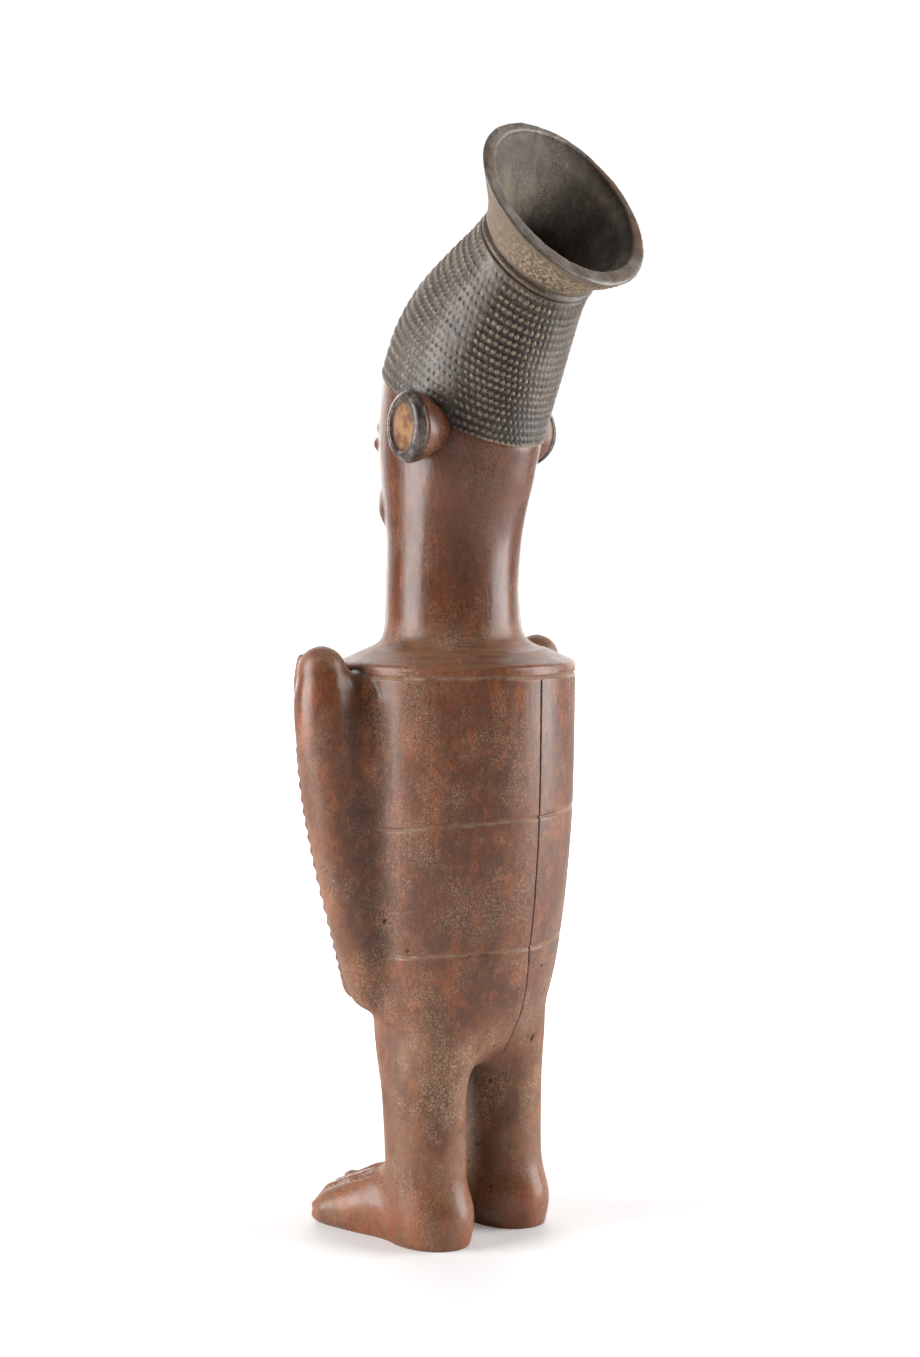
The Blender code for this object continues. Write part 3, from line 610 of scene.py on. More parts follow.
# %% [markdown]
# ## The ears
# Each ear is a small thick bowl, pressed on after the head was shaped. A turned profile gives its rounded back, the
# little step under the rim, the rim's broad bevel and the hollow in one closed skin.

# %% Turn the ears
EAR_CENTRE, EAR_TURN = (45.5, 12.6, 368.5), 15.0
RIGHT_EAR_SHIFT = Vector((6.0, -5.5, -1.0))
EAR_PROFILE = [(8.0, -20.8), (10.8, -16.0), (12.8, -12.6), (14.3, -9.6), (15.1, -7.2), (15.35, -6.0), (15.1, -5.3),
               (15.7, -4.7), (15.85, -3.6), (15.5, -2.1), (14.7, -0.9), (13.5, -0.1), (12.3, 0.3), (11.3, 0.1),
               (10.8, -0.5), (10.4, -1.1), (9.6, -1.7), (7.8, -2.1), (5.0, -2.3), (2.2, -2.4)]
EAR_MOUTH = 10.6
turn = math.radians(EAR_TURN)
out = Vector((math.cos(turn), -math.sin(turn), 0.0))
up = Vector((0.0, 0.0, 1.0))
ear_axes = Matrix.Translation(EAR_CENTRE) @ Matrix((up.cross(out), up, out)).transposed().to_4x4()
ears = bmesh.new()
for shift, mirror in ((Vector(), 1.0), (RIGHT_EAR_SHIFT, -1.0)):
    rings = []
    for radius, along in spread(EAR_PROFILE, 2):
        rings.append(ear_axes @ Matrix.Translation((0.0, 0.0, along)) @ Matrix.Diagonal((radius, radius, 1.0, 1.0)))
    lump = tube(rings, 72)
    for vert in lump.verts:
        wobble = noise.noise(vert.co * 0.11 + Vector((mirror * 7.0, 0.0, 0.0)))
        vert.co += (vert.co - Vector(EAR_CENTRE)).normalized() * wobble * 0.5
    if mirror < 0.0:
        bmesh.ops.scale(lump, vec=(-1.0, 1.0, 1.0), verts=lump.verts)
        bmesh.ops.reverse_faces(lump, faces=lump.faces)
        bmesh.ops.translate(lump, vec=shift, verts=lump.verts)
    add(ears, lump)
rim_mask, bed_mask = new_masks(ears, "ear_rim", "ear_bed")
for vert in ears.verts:
    left_side = vert.co.x > 0.0
    local = vert.co if left_side else Vector((-(vert.co.x - RIGHT_EAR_SHIFT.x), *(vert.co - RIGHT_EAR_SHIFT).yz))
    local = ear_axes.inverted() @ local
    radius = math.hypot(local.x, local.y)
    vert[rim_mask] = smoothstep(-5.2, -4.4, local.z) * smoothstep(EAR_MOUTH - 0.4, EAR_MOUTH + 0.5, radius)
    vert[bed_mask] = smoothstep(-5.2, -4.6, local.z) * (1.0 - smoothstep(EAR_MOUTH - 1.2, EAR_MOUTH + 0.1, radius))
ears = piece("ears", ears)
print("ears", len(ears.data.polygons), "faces")

# %% [markdown]
# ## The hair
# The hair is a roulette pattern: a carved roller leaves row after row of round pellets, 2.9 mm apart along a row and
# 4 mm from row to row. The piece is a thick shell, a fine grid outside and a plain one inside. Each corner of the
# grid knows its row and its place along it, and rises by the pellet's height there. Where the potter rubbed the
# head before it was dry the pellets are pressed flat, and only the deep corners between them stay as small pits.

# %% Press the rows of hair pellets
ROW_PITCH, PELLET_PITCH, PELLET_RADIUS = 4.0, 2.9, 1.32
SAMPLES_PER_ROW, AROUND_HAIR = 8, 560
GROUND, PELLET_TOP, PIT_RADIUS, PIT_DEPTH = -0.55, 1.0, 0.62, 0.55
JITTER_SEED = 4
noise.seed_set(JITTER_SEED)    # without a seed, noise_vector starts from the clock


def axis_lengths(sections):
    total, lengths = 0.0, [0.0]
    for a, b in zip(sections, sections[1:]):
        total += math.hypot(b[0] - a[0], b[1] - a[1])
        lengths.append(total)
    return lengths


hair_way = axis_lengths(HAIR)
ROWS = round(hair_way[-1] / ROW_PITCH)


def section_at(sections, way, along):
    return between(sections, float(np.interp(along, way, range(len(sections)))))


hair_steps = ROWS * SAMPLES_PER_ROW
hair_sections = [section_at(HAIR, hair_way, hair_way[-1] * i / hair_steps) for i in range(hair_steps + 1)]
hair_rings = [body_ring(section, -HAIR_RISE) for section in hair_sections]
hair = tube(hair_rings, AROUND_HAIR, marked=True)
open_ends(hair)
print("rows of pellets", ROWS, "- grid", len(hair.verts), "corners")


def hair_strength(degrees, share):
    """How much of the pellets is left, round the head in degrees from the left side and up it as a share."""
    if degrees < -90.0:
        degrees += 360.0
    front_side = 1.0 - smoothstep(-6.0, 9.0, degrees)
    strong = smoothstep(30.0, 37.0, degrees + 4.0 * share) * (1.0 - 0.8 * smoothstep(66.0, 92.0, degrees))
    far_side = smoothstep(150.0, 165.0, degrees) * (0.8 - 0.3 * smoothstep(200.0, 265.0, degrees))
    slow = noise.noise(Vector((degrees / 22.0, share * 5.0, 3.0)))
    low = 1.0 - 0.35 * (1.0 - smoothstep(0.08, 0.3, share))
    return max(0.04, min(1.0, (0.5 * front_side + strong * low + far_side) * (1.0 + 0.6 * slow) + 0.15 * slow))


pellet_mask, groove_mask, hair_pit, hair_edge = new_masks(hair, "pellet", "groove", "hair_pit", "hair_edge")
ring_mark, turn_mark = hair.verts.layers.float["ring"], hair.verts.layers.float["turn"]
row_sections = [section_at(HAIR, hair_way, hair_way[-1] * (row + 0.5) / ROWS) for row in range(ROWS)]
row_counts = [round(math.pi * (s[2] + s[3] + 2 * HAIR_RISE) / PELLET_PITCH) for s in row_sections]
row_phase = [0.5 * (row % 2) + 0.3 * noise.noise(Vector((row * 1.7, 5.0, 0.0))) for row in range(ROWS)]
hair.normal_update()
for vert in hair.verts:
    degrees = vert[turn_mark]
    along = vert[ring_mark] / SAMPLES_PER_ROW
    row = min(int(along), ROWS - 1)
    place = degrees / 360.0 * row_counts[row] + row_phase[row]
    number = math.floor(place)
    jitter = noise.noise_vector(Vector((row * 3.1, number * 1.7, 9.0)))
    across = (place - number - 0.5) * PELLET_PITCH + 0.35 * jitter.x
    upward = (along - row - 0.5) * ROW_PITCH + 0.35 * jitter.y
    radius = PELLET_RADIUS * (1.0 + 0.18 * jitter.z)
    pellet = math.sqrt(max(0.0, 1.0 - (across * across + upward * upward) / radius ** 2))
    middle = (number + 0.5 - row_phase[row]) / row_counts[row] * 360.0
    strength = hair_strength(middle, (row + 0.5) / ROWS) * (1.0 + 0.2 * jitter.x)
    corner_row = min(round(along), ROWS - 1)
    corner = degrees / 360.0 * row_counts[corner_row] + row_phase[corner_row]
    corner = math.hypot((corner - round(corner)) * PELLET_PITCH, (along - round(along)) * ROW_PITCH)
    hole = math.exp(-(corner / PIT_RADIUS) ** 2) * max(0.0, 0.75 + 1.2 * noise.noise(vert.co * 0.12))
    edge = smoothstep(0.0, 0.5, along) * smoothstep(0.0, 0.6, ROWS - along)
    sharp = min(1.0, strength * 1.15)
    rise = sharp * (GROUND + PELLET_TOP * pellet) + (1.0 - sharp) * (0.08 - PIT_DEPTH * hole)
    vert.co += vert.normal * (rise * edge + 0.10 * noise.noise(vert.co * 0.35))
    vert[pellet_mask] = pellet * sharp * edge
    vert[groove_mask] = (1.0 - min(1.0, pellet * 1.6)) * sharp * edge
    vert[hair_pit] = hole * (1.0 - sharp) * edge
    line = 1.0 - smoothstep(0.12, 0.38, abs(along - 0.22))
    vert[hair_edge] = line * smoothstep(48.0, 60.0, degrees) * (1.0 - smoothstep(125.0, 150.0, degrees))
print("pellets pressed:", sum(row_counts))

# %% Close the hair into a shell
INNER_SIDES = 60


def inner_wall(bm, rings, start_edges, end_edges):
    """A plain inner wall through the rings, joined to the outer grid's two open edges."""
    loops = []
    for ring in rings:
        made = bmesh.ops.create_circle(bm, cap_ends=False, segments=INNER_SIDES, radius=1.0, matrix=ring)
        loops.append(list({edge for vert in made["verts"] for edge in vert.link_edges}))
    for a, b in zip([start_edges] + loops, loops + [end_edges]):
        bmesh.ops.bridge_loops(bm, edges=a + b)


def open_edges(bm, ring):
    """The open edge loop that lies on a ring's plane."""
    centre, axis = ring.translation, ring.col[2].xyz.normalized()
    return [edge for edge in bm.edges if edge.is_boundary
            and all(abs((vert.co - centre).dot(axis)) < 3.0 for vert in edge.verts)]


lower_edge = open_edges(hair, hair_rings[0])
upper_edge = open_edges(hair, hair_rings[-1])
lower_tuck = body_ring(between(NECK, len(NECK) - 1.25), WALL - 1.5)
walls = [body_ring(HAIR[0], 3.0, 0.0), lower_tuck] + [body_ring(section, WALL - 0.3) for section in HAIR]
inner_wall(hair, walls, lower_edge, upper_edge)
bmesh.ops.recalc_face_normals(hair, faces=hair.faces)
drop_marks(hair)
hair = piece("hair", hair)
print("hair", len(hair.data.polygons), "faces")

# %% [markdown]
# ## The funnel
# The mouth of the vessel is a flared funnel. Two raised cords ring the throat, the outside above them carries an
# irregular stipple, and the lip is a flat band, broad on the near side and nearly lost on the far one. One spun grid
# makes the outside, lip and inside, so there is no seam for light to find.

# %% Lay the funnel's outside, lip and inside
AROUND_FUNNEL = 480
FILLET_WIDTH, FILLET_RISE = 4.2, 1.3
LIP_WIDE, LIP_NARROW, LIP_SIDE = 8.0, 2.4, 50.0
funnel_way = axis_lengths(FUNNEL)
throat, rim = FUNNEL[0], FUNNEL[-1]
profile = []
for i in range(25):
    along = FILLET_WIDTH * (i / 12 - 1.0)
    phase = (along / FILLET_WIDTH) % 1.0
    cord = max(0.0, math.sin(math.pi * (phase - 0.14) / 0.72)) ** 0.7 if 0.14 < phase < 0.86 else -0.15
    profile.append(body_ring(throat, -FILLET_RISE * cord, along))
FLARE_START, FLARE_RINGS = 0.19, 55
for i in range(1, FLARE_RINGS + 1):
    t = FLARE_START + (1.0 - FLARE_START) * i / FLARE_RINGS
    profile.append(body_ring(section_at(FUNNEL, funnel_way, funnel_way[-1] * t)))
LIP_START = len(profile)
LIP_SHARES = (0.04, 0.10, 0.20, 0.40, 0.60, 0.80, 0.93, 1.0, 1.06, 1.14)
LIP_RISES = (0.45, 0.75, 0.85, 0.80, 0.70, 0.60, 0.45, 0.0, -0.9, -2.4)
profile += [body_ring(rim, LIP_WIDE * share, rise) for share, rise in zip(LIP_SHARES, LIP_RISES)]
LIP_END = len(profile)
INSIDE = ((between(FUNNEL, 3.45), 8.0), (FUNNEL[3], 7.6), (between(FUNNEL, 2.5), 7.4), (FUNNEL[2], 7.4),
          (FUNNEL[1], WALL), (FUNNEL[0], WALL), (HAIR[-2], WALL), (HAIR[-3], WALL))
profile += [body_ring(section, wall) for section, wall in INSIDE]
print("funnel rings", len(profile))
funnel = tube(profile, AROUND_FUNNEL, marked=True)
open_ends(funnel)
bmesh.ops.bridge_loops(funnel, edges=[edge for edge in funnel.edges if edge.is_boundary])
bmesh.ops.recalc_face_normals(funnel, faces=funnel.faces)
print("funnel grid", len(funnel.verts), "corners")


def lip_width(degrees):
    """The flat band is broad on the near left and lower side and narrow opposite."""
    near = 0.5 + 0.5 * math.cos(math.radians(degrees - LIP_SIDE))
    return LIP_NARROW + (LIP_WIDE - LIP_NARROW) * near ** 0.6 + 0.35 * noise.noise(Vector((degrees / 9.0, 4.0, 0.0)))


ring_mark, turn_mark = funnel.verts.layers.float["ring"], funnel.verts.layers.float["turn"]
for vert in funnel.verts:
    number = round(vert[ring_mark]) - LIP_START
    if 0 <= number < len(LIP_SHARES):
        degrees = vert[turn_mark]
        width = lip_width(degrees)
        angle = math.radians(degrees)
        rise = LIP_RISES[number] if LIP_RISES[number] > 0.0 else LIP_RISES[number] * width / LIP_WIDE
        vert.co = body_ring(rim, width * LIP_SHARES[number], rise) @ Vector((math.cos(angle), math.sin(angle), 0.0))

# %% Stipple the collar and roughen the lip
collar_mask, lip_mask, inside_mask, skirt_mask = new_masks(funnel, "collar", "lip", "inside", "skirt")
COLLAR_START = 25
PEBBLE = Vector((9.0, 0.0, 0.0))
funnel.normal_update()
changes = []
for vert in funnel.verts:
    number, degrees = round(vert[ring_mark]), vert[turn_mark]
    if COLLAR_START <= number < LIP_START:
        share = (number - COLLAR_START) / (LIP_START - COLLAR_START)
        band = smoothstep(0.02, 0.12, share) * (1.0 - smoothstep(0.78, 0.95, share))
        dense = 0.25 + 0.75 * math.exp(-((degrees - 68.0) / 48.0) ** 2) * (1.0 - 0.35 * share)
        spot = min(noise.voronoi(vert.co / 2.3)[0][0], noise.voronoi(vert.co / 1.7 + PEBBLE)[0][0] * 1.15)
        bump = max(0.0, 1.0 - (spot / 0.60) ** 2) * band * dense
        changes.append((vert, vert.normal * (bump * 1.05 - 0.45 * band * dense)))
        vert[collar_mask] = bump
        vert[skirt_mask] = smoothstep(0.0, 0.05, share) * (1.0 - smoothstep(0.93, 1.0, share))
    elif LIP_START <= number < LIP_END - 2:
        vert[lip_mask] = 1.0
        dent = 0.30 * noise.noise(vert.co * 0.16) + 0.12 * noise.noise(vert.co * 0.7)
        changes.append((vert, vert.normal * dent))
    elif number >= LIP_END - 2:
        vert[inside_mask] = 1.0
for vert, move in changes:
    vert.co += move
drop_marks(funnel)
funnel = piece("funnel", funnel)
print("funnel", len(funnel.data.polygons), "faces")

# %% [markdown]
# ## Painted shade and wear
# The colour is darkened in the valleys between lumps as painted shade, and goes pale on ridges that hands have
# rubbed. Both follow the curvature of the skin. It is worked out once for each piece, from how far a corner
# stands above the middle of its neighbours, and kept as an attribute that the materials read.

# %% Measure ridges and valleys
def numbers(items, name, width, kind=np.float32):
    """One vector of each of a mesh's items, as rows of an array."""
    values = np.empty(len(items) * width, kind)
    items.foreach_get(name, values)
    return values.reshape(-1, width)


def store(mesh, name, values):
    mesh.attributes.new(name, "FLOAT", "POINT").data.foreach_set("value", values.astype(np.float32))


def ridges_and_valleys(obj, reach):
    """Stores how much each corner stands out, from -1 in a valley to 1 on a ridge."""
    mesh = obj.data
    points = numbers(mesh.vertices, "co", 3).astype(float)
    normals = numbers(mesh.vertices, "normal", 3)
    edges = numbers(mesh.edges, "vertices", 2, np.int32)
    count = len(points)
    number = np.maximum(np.bincount(edges.ravel(), minlength=count), 1)[:, None]
    blurred = points.copy()
    for _ in range(reach):
        total = np.stack([np.bincount(edges[:, 0], blurred[edges[:, 1], k], count)
                          + np.bincount(edges[:, 1], blurred[edges[:, 0], k], count) for k in range(3)], 1)
        blurred = 0.5 * blurred + 0.5 * total / number
    stand = ((points - blurred) * normals).sum(1) / MM
    value = np.clip(stand / FULL_STAND, -1.0, 1.0)
    store(mesh, "stand_out", value)
    return value


FULL_STAND = 0.5
for obj, reach in ((body, 10), (forearms, 8), (ears, 8), (hair, 6), (funnel, 6)):
    value = ridges_and_valleys(obj, reach)
    print(obj.name, "ridges", round(float((value > 0.3).mean()), 3), "valleys", round(float((value < -0.3).mean()), 3))

# %% Where dust has settled
def settle_dust(obj, by_height):
    """Stores how dusty each corner is, by its height in millimetres."""
    heights = numbers(obj.data.vertices, "co", 3)[:, 2] / MM
    amount = np.interp(heights, [pair[0] for pair in by_height], [pair[1] for pair in by_height])
    store(obj.data, "dusty", amount)
    return float(amount.mean())


DUST_BY_HEIGHT = ((0, 0.35), (22, 0.45), (45, 0.8), (80, 0.85), (105, 0.7), (140, 0.5), (200, 0.55), (250, 0.40),
                  (262, 0.45), (268, 0.65), (274, 0.65), (284, 0.30), (330, 0.22), (380, 0.35), (500, 0.35))
for obj in (body, forearms, ears):
    print(obj.name, "dust", round(settle_dust(obj, DUST_BY_HEIGHT), 2))

# %% [markdown]
# ## Materials
# The skin is iron-rich clay, rubbed with a pebble along the figure's height: fine upright streaks, a soft gloss
# that breaks up, orange and brown clouds from the open fire, and pale dust in every small hollow. The streaks,
# clouds and dust are groups that both materials share, each with its own values.

# %% Helpers for node trees
def linear(red, green, blue):
    """A colour written as on a screen, 0 to 255, as the linear values that the shader needs."""
    values = []
    for channel in (red, green, blue):
        c = channel / 255.0
        values.append(c / 12.92 if c <= 0.04045 else ((c + 0.055) / 1.055) ** 2.4)
    return (*values, 1.0)


def add_node(tree, kind, **settings):
    node = tree.nodes.new(kind)
    for name, value in settings.items():
        setattr(node, name, value)
    return node


def feed(tree, socket, value):
    """Links a socket, or sets it where the value is a plain one."""
    if isinstance(value, bpy.types.NodeSocket):
        tree.links.new(value, socket)
    else:
        socket.default_value = value


def mix(tree, factor, low, high):
    """A Mix node, of colours or of plain numbers."""
    colours = any(isinstance(value, tuple) or getattr(value, "type", "") == "RGBA" for value in (low, high))
    node = add_node(tree, "ShaderNodeMix", data_type="RGBA" if colours else "FLOAT")
    first, second, result = (6, 7, 2) if colours else (2, 3, 0)
    for index, value in ((0, factor), (first, low), (second, high)):
        feed(tree, node.inputs[index], value)
    return node.outputs[result]


def times(tree, first, second):
    node = add_node(tree, "ShaderNodeMath", operation="MULTIPLY")
    feed(tree, node.inputs[0], first)
    feed(tree, node.inputs[1], second)
    return node.outputs[0]


def paint(tree, base, coats):
    """Lays coats over a colour or a roughness: each has a mask, its share, and what it brings."""
    for mask, share, coat in coats:
        if share < 1.0:
            mask = times(tree, mask, share)
        base = mix(tree, mask, base, linear(*coat) if isinstance(coat, tuple) else coat)
    return base


def remap(tree, value, low, high, to_low=0.0, to_high=1.0):
    node = add_node(tree, "ShaderNodeMapRange", interpolation_type="SMOOTHSTEP")
    for name, item in (("Value", value), ("From Min", low), ("From Max", high), ("To Min", to_low),
                       ("To Max", to_high)):
        feed(tree, node.inputs[name], item)
    return node.outputs["Result"]


def grain(tree, place, scale, detail=4.0, rough=0.55, stretch=(1.0, 1.0, 1.0), shift=0.0):
    """Noise on the object's own coordinates; scale is per metre, and stretch thins it along an axis."""
    mapping = add_node(tree, "ShaderNodeMapping")
    node = add_node(tree, "ShaderNodeTexNoise")
    for socket, item in ((mapping.inputs["Location"], (shift, shift * 0.7, shift * 1.3)),
                         (mapping.inputs["Scale"], stretch), (mapping.inputs["Vector"], place),
                         (node.inputs["Vector"], mapping.outputs["Vector"]), (node.inputs["Scale"], scale),
                         (node.inputs["Detail"], detail), (node.inputs["Roughness"], rough)):
        feed(tree, socket, item)
    return node.outputs["Fac"]


def attribute(tree, name):
    return add_node(tree, "ShaderNodeAttribute", attribute_name=name).outputs["Fac"]


def new_group(name, inputs, outputs):
    group = bpy.data.node_groups.new(name, "ShaderNodeTree")
    for label, kind, value in inputs:
        socket = group.interface.new_socket(name=label, in_out="INPUT", socket_type=kind)
        if value is not None:
            socket.default_value = value
    for label, kind in outputs:
        group.interface.new_socket(name=label, in_out="OUTPUT", socket_type=kind)
    return group, add_node(group, "NodeGroupInput"), add_node(group, "NodeGroupOutput")


def use_group(tree, group, **values):
    node = add_node(tree, "ShaderNodeGroup", node_tree=group)
    for label, value in values.items():
        feed(tree, node.inputs[label], value)
    return node


print("helpers ready")

# %% Shared groups: fire clouds, burnish streaks and dust
COLOR, FLOAT, VECTOR = "NodeSocketColor", "NodeSocketFloat", "NodeSocketVector"
clouds, given, result = new_group(
    "fire_clouds", [("Place", VECTOR, None), ("Main", COLOR, (0.2, 0.1, 0.05, 1)), ("Warm", COLOR, (0.4, 0.1, 0.05, 1)),
                    ("Dark", COLOR, (0.1, 0.05, 0.03, 1))], [("Color", COLOR)])
# Size of the grain per metre, its detail, roughness, upright stretch and shift, where it sets in and is full, its
# share, and the colour that it brings.
CLOUDS = ((22.0, 3.0, 0.55, 0.7, 0.0, 0.42, 0.62, 0.5, "Dark"), (75.0, 6.0, 0.68, 0.65, 3.0, 0.44, 0.60, 0.65, "Dark"),
          (105.0, 6.0, 0.68, 0.6, 1.0, 0.50, 0.64, 0.7, "Warm"), (620.0, 4.0, 0.7, 0.6, 2.0, 0.48, 0.64, 0.6, "Dark"),
          (380.0, 5.0, 0.75, 0.7, 6.0, 0.54, 0.66, 0.6, "Warm"))
place, colour = given.outputs["Place"], given.outputs["Main"]
for scale, detail, rough, upright, shift, low, high, share, name in CLOUDS:
    cloud = remap(clouds, grain(clouds, place, scale, detail, rough, (1.0, 1.0, upright), shift), low, high)
    colour = mix(clouds, times(clouds, cloud, share), colour, given.outputs[name])
clouds.links.new(colour, result.inputs["Color"])

streaks, given, result = new_group("burnish_streaks", [("Place", VECTOR, None)], [("Streak", FLOAT), ("Height", FLOAT)])
place = given.outputs["Place"]
long_streak = grain(streaks, place, 210.0, 3.0, 0.55, (1.0, 1.0, 0.07))
short_streak = grain(streaks, place, 620.0, 2.0, 0.6, (1.0, 1.0, 0.16), 2.0)
streak = mix(streaks, 0.45, long_streak, short_streak)
dents = grain(streaks, place, 95.0, 2.0, 0.5, (1.0, 1.0, 0.55), 5.0)
streaks.links.new(remap(streaks, streak, 0.38, 0.62), result.inputs["Streak"])
streaks.links.new(mix(streaks, 0.55, streak, dents), result.inputs["Height"])

dust, given, result = new_group("dust_speckle", [("Place", VECTOR, None), ("Amount", FLOAT, 0.5)], [("Mask", FLOAT)])
place = given.outputs["Place"]
patch = remap(dust, grain(dust, place, 48.0, 6.0, 0.7, (1.0, 1.0, 0.7), 7.0), 0.42, 0.62, 0.12, 1.0)
speck = remap(dust, grain(dust, place, 1300.0, 5.0, 0.8, (1.0, 1.0, 0.8), 4.0), 0.48, 0.58)
dust.links.new(times(dust, times(dust, patch, speck), given.outputs["Amount"]), result.inputs["Mask"])
print("groups:", [group.name for group in bpy.data.node_groups])

# %% The burnished skin
def new_material(name):
    material = bpy.data.materials.new(name)
    material.use_nodes = True
    tree = material.node_tree
    place = add_node(tree, "ShaderNodeTexCoord").outputs["Object"]
    return material, tree, tree.nodes["Principled BSDF"], place


def roughen(tree, shader, height, distance):
    """A fine bump, for grain that is too small to be modelled."""
    bump = add_node(tree, "ShaderNodeBump")
    for socket, value in ((bump.inputs["Strength"], 0.4), (bump.inputs["Distance"], distance),
                          (bump.inputs["Height"], height), (shader.inputs["Normal"], bump.outputs["Normal"])):
        feed(tree, socket, value)


skin, tree, shader, place = new_material("burnished_terracotta")
clay_colour = use_group(tree, clouds, Place=place, Main=linear(118, 68, 43), Warm=linear(154, 82, 43),
                        Dark=linear(78, 45, 31)).outputs["Color"]
marks = use_group(tree, streaks, Place=place)
dusty = attribute(tree, "dusty")
specks = use_group(tree, dust, Place=place, Amount=times(tree, dusty, 1.5)).outputs["Mask"]
stand = attribute(tree, "stand_out")
# valley is painted shade: the skin's colour darkened in valleys and joins, by how far they sink below their neighbours.
valley = remap(tree, stand, -0.05, -0.75)
ridge = remap(tree, stand, 0.12, 0.8)
parts = add_node(tree, "ShaderNodeSeparateXYZ")
tree.links.new(place, parts.inputs[0])
height = parts.outputs["Z"]
sideways = add_node(tree, "ShaderNodeMath", operation="ABSOLUTE")
tree.links.new(parts.outputs["X"], sideways.inputs[0])
blotch = grain(tree, place, 60.0, 5.0, 0.65, shift=11.0)
wiped = remap(tree, grain(tree, place, 900.0, 3.0, 0.6, (0.06, 0.06, 1.0), 6.0), 0.42, 0.60)
broken = remap(tree, grain(tree, place, 110.0, 5.0, 0.7), 0.38, 0.60, 0.15, 1.0)

# Where a colour, a wear or a painted shade belongs to one part of the figure; heights are in metres.
neck = times(tree, remap(tree, height, 0.276, 0.300), remap(tree, height, 0.400, 0.370))
legs = times(tree, remap(tree, height, 0.115, 0.085), remap(tree, blotch, 0.40, 0.60))
heels = times(tree, remap(tree, height, 0.042, 0.012), remap(tree, blotch, 0.54, 0.42))
# gap is painted shade: the inner sides of the legs under the crotch are darkened where little light reaches.
gap = times(tree, remap(tree, sideways.outputs[0], 0.014, 0.006), remap(tree, height, 0.090, 0.070))
cone = times(tree, wiped, times(tree, remap(tree, height, 0.2625, 0.2660), remap(tree, height, 0.2850, 0.2740)))
filled = times(tree, attribute(tree, "line_dust"), broken)
rim_colour = mix(tree, remap(tree, grain(tree, place, 240.0, 4.0, 0.7), 0.44, 0.62), linear(58, 45, 38),
                 linear(104, 94, 88))
bed_colour = mix(tree, remap(tree, grain(tree, place, 150.0, 6.0, 0.7), 0.40, 0.60), linear(106, 66, 46),
                 linear(150, 114, 78))
ear_bed = attribute(tree, "ear_bed")
# Of these coats, valley and gap are painted shade.
colour = paint(tree, clay_colour, (
    (marks.outputs["Streak"], 0.15, (84, 48, 36)), (neck, 0.5, (76, 40, 27)), (legs, 0.42, (140, 98, 68)),
    (heels, 0.6, (152, 82, 44)), (gap, 0.55, (84, 66, 48)), (dusty, 0.08, (146, 110, 82)),
    (valley, 0.65, (74, 56, 42)), (ridge, 0.25, (152, 100, 72)), (specks, 0.78, (176, 147, 118)),
    (cone, 0.35, (146, 116, 90)), (filled, 0.85, (164, 138, 110)), (attribute(tree, "dark_line"), 0.85, (48, 30, 24)),
    (attribute(tree, "pit"), 1.0, (34, 22, 17)), (attribute(tree, "ear_rim"), 1.0, rim_colour),
    (ear_bed, 1.0, bed_colour)))
tree.links.new(colour, shader.inputs["Base Color"])
gloss = paint(tree, remap(tree, marks.outputs["Streak"], 0.0, 1.0, 0.20, 0.30), (
    (specks, 1.0, 0.7), (remap(tree, dusty, 0.25, 1.0, 0.0, 0.6), 1.0, 0.8), (filled, 1.0, 0.9), (ear_bed, 1.0, 0.85)))
tree.links.new(gloss, shader.inputs["Roughness"])
roughen(tree, shader, marks.outputs["Height"], 0.0006)
print("skin nodes", len(tree.nodes))

# %% [markdown]
# The hair and funnel were held in smoke after firing. Soot lies black in the grooves, the pellets' worn tops show
# the buff clay below it, and a thin shine of burnished graphite-grey lies over the rubbed part of the head.

# %% The smoked hair and funnel
smoked, tree, shader, place = new_material("smoked_clay")
soot = use_group(tree, clouds, Place=place, Main=linear(86, 74, 64), Warm=linear(106, 88, 70),
                 Dark=linear(54, 46, 40)).outputs["Color"]
specks = use_group(tree, dust, Place=place, Amount=0.45).outputs["Mask"]
streak = use_group(tree, streaks, Place=place).outputs["Streak"]
NAMES = ("stand_out", "pellet", "groove", "hair_pit", "hair_edge", "collar", "skirt", "lip", "inside")
stand, pellet, groove, hole, edge, collar, skirt, lip, inner = (attribute(tree, name) for name in NAMES)
smudge = remap(tree, grain(tree, place, 55.0, 6.0, 0.7, (1.0, 1.0, 0.6)), 0.44, 0.64)
reddish = remap(tree, grain(tree, place, 30.0, 3.0, 0.6, shift=8.0), 0.52, 0.62)
top_colour = mix(tree, remap(tree, grain(tree, place, 260.0), 0.40, 0.60), linear(94, 82, 70), linear(138, 121, 94))
lip_colour = mix(tree, remap(tree, grain(tree, place, 70.0, 4.0, 0.6), 0.42, 0.60), linear(92, 80, 70),
                 linear(122, 112, 104))
# The stand_out coat is painted shade: the colour darkens in the valleys of the hair and funnel.
colour = paint(tree, soot, (
    (skirt, 1.0, mix(tree, 0.55, soot, linear(124, 104, 84))), (groove, 0.9, (44, 38, 34)), (hole, 1.0, (46, 40, 36)),
    (remap(tree, pellet, 0.35, 0.85, 0.0, 0.9), 1.0, top_colour),
    (remap(tree, collar, 0.1, 0.7, 0.0, 0.8), 1.0, (156, 136, 106)),
    (remap(tree, stand, -0.05, -0.6), 0.5, (60, 50, 42)),
    (edge, 1.0, (140, 122, 100)), (inner, 1.0, mix(tree, smudge, linear(64, 55, 46), linear(104, 91, 75))),
    (lip, 0.85, mix(tree, reddish, lip_colour, linear(112, 82, 64))), (specks, 1.0, (150, 134, 112))))
tree.links.new(colour, shader.inputs["Base Color"])
gloss = paint(tree, remap(tree, streak, 0.0, 1.0, 0.26, 0.40), (
    (inner, 0.8, 0.75), (groove, 0.8, 0.85), (skirt, 1.0, 0.62), (collar, 1.0, 0.7)))
tree.links.new(gloss, shader.inputs["Roughness"])
roughen(tree, shader, grain(tree, place, 900.0, 4.0, 0.65), 0.0005)
print("hair nodes", len(tree.nodes))

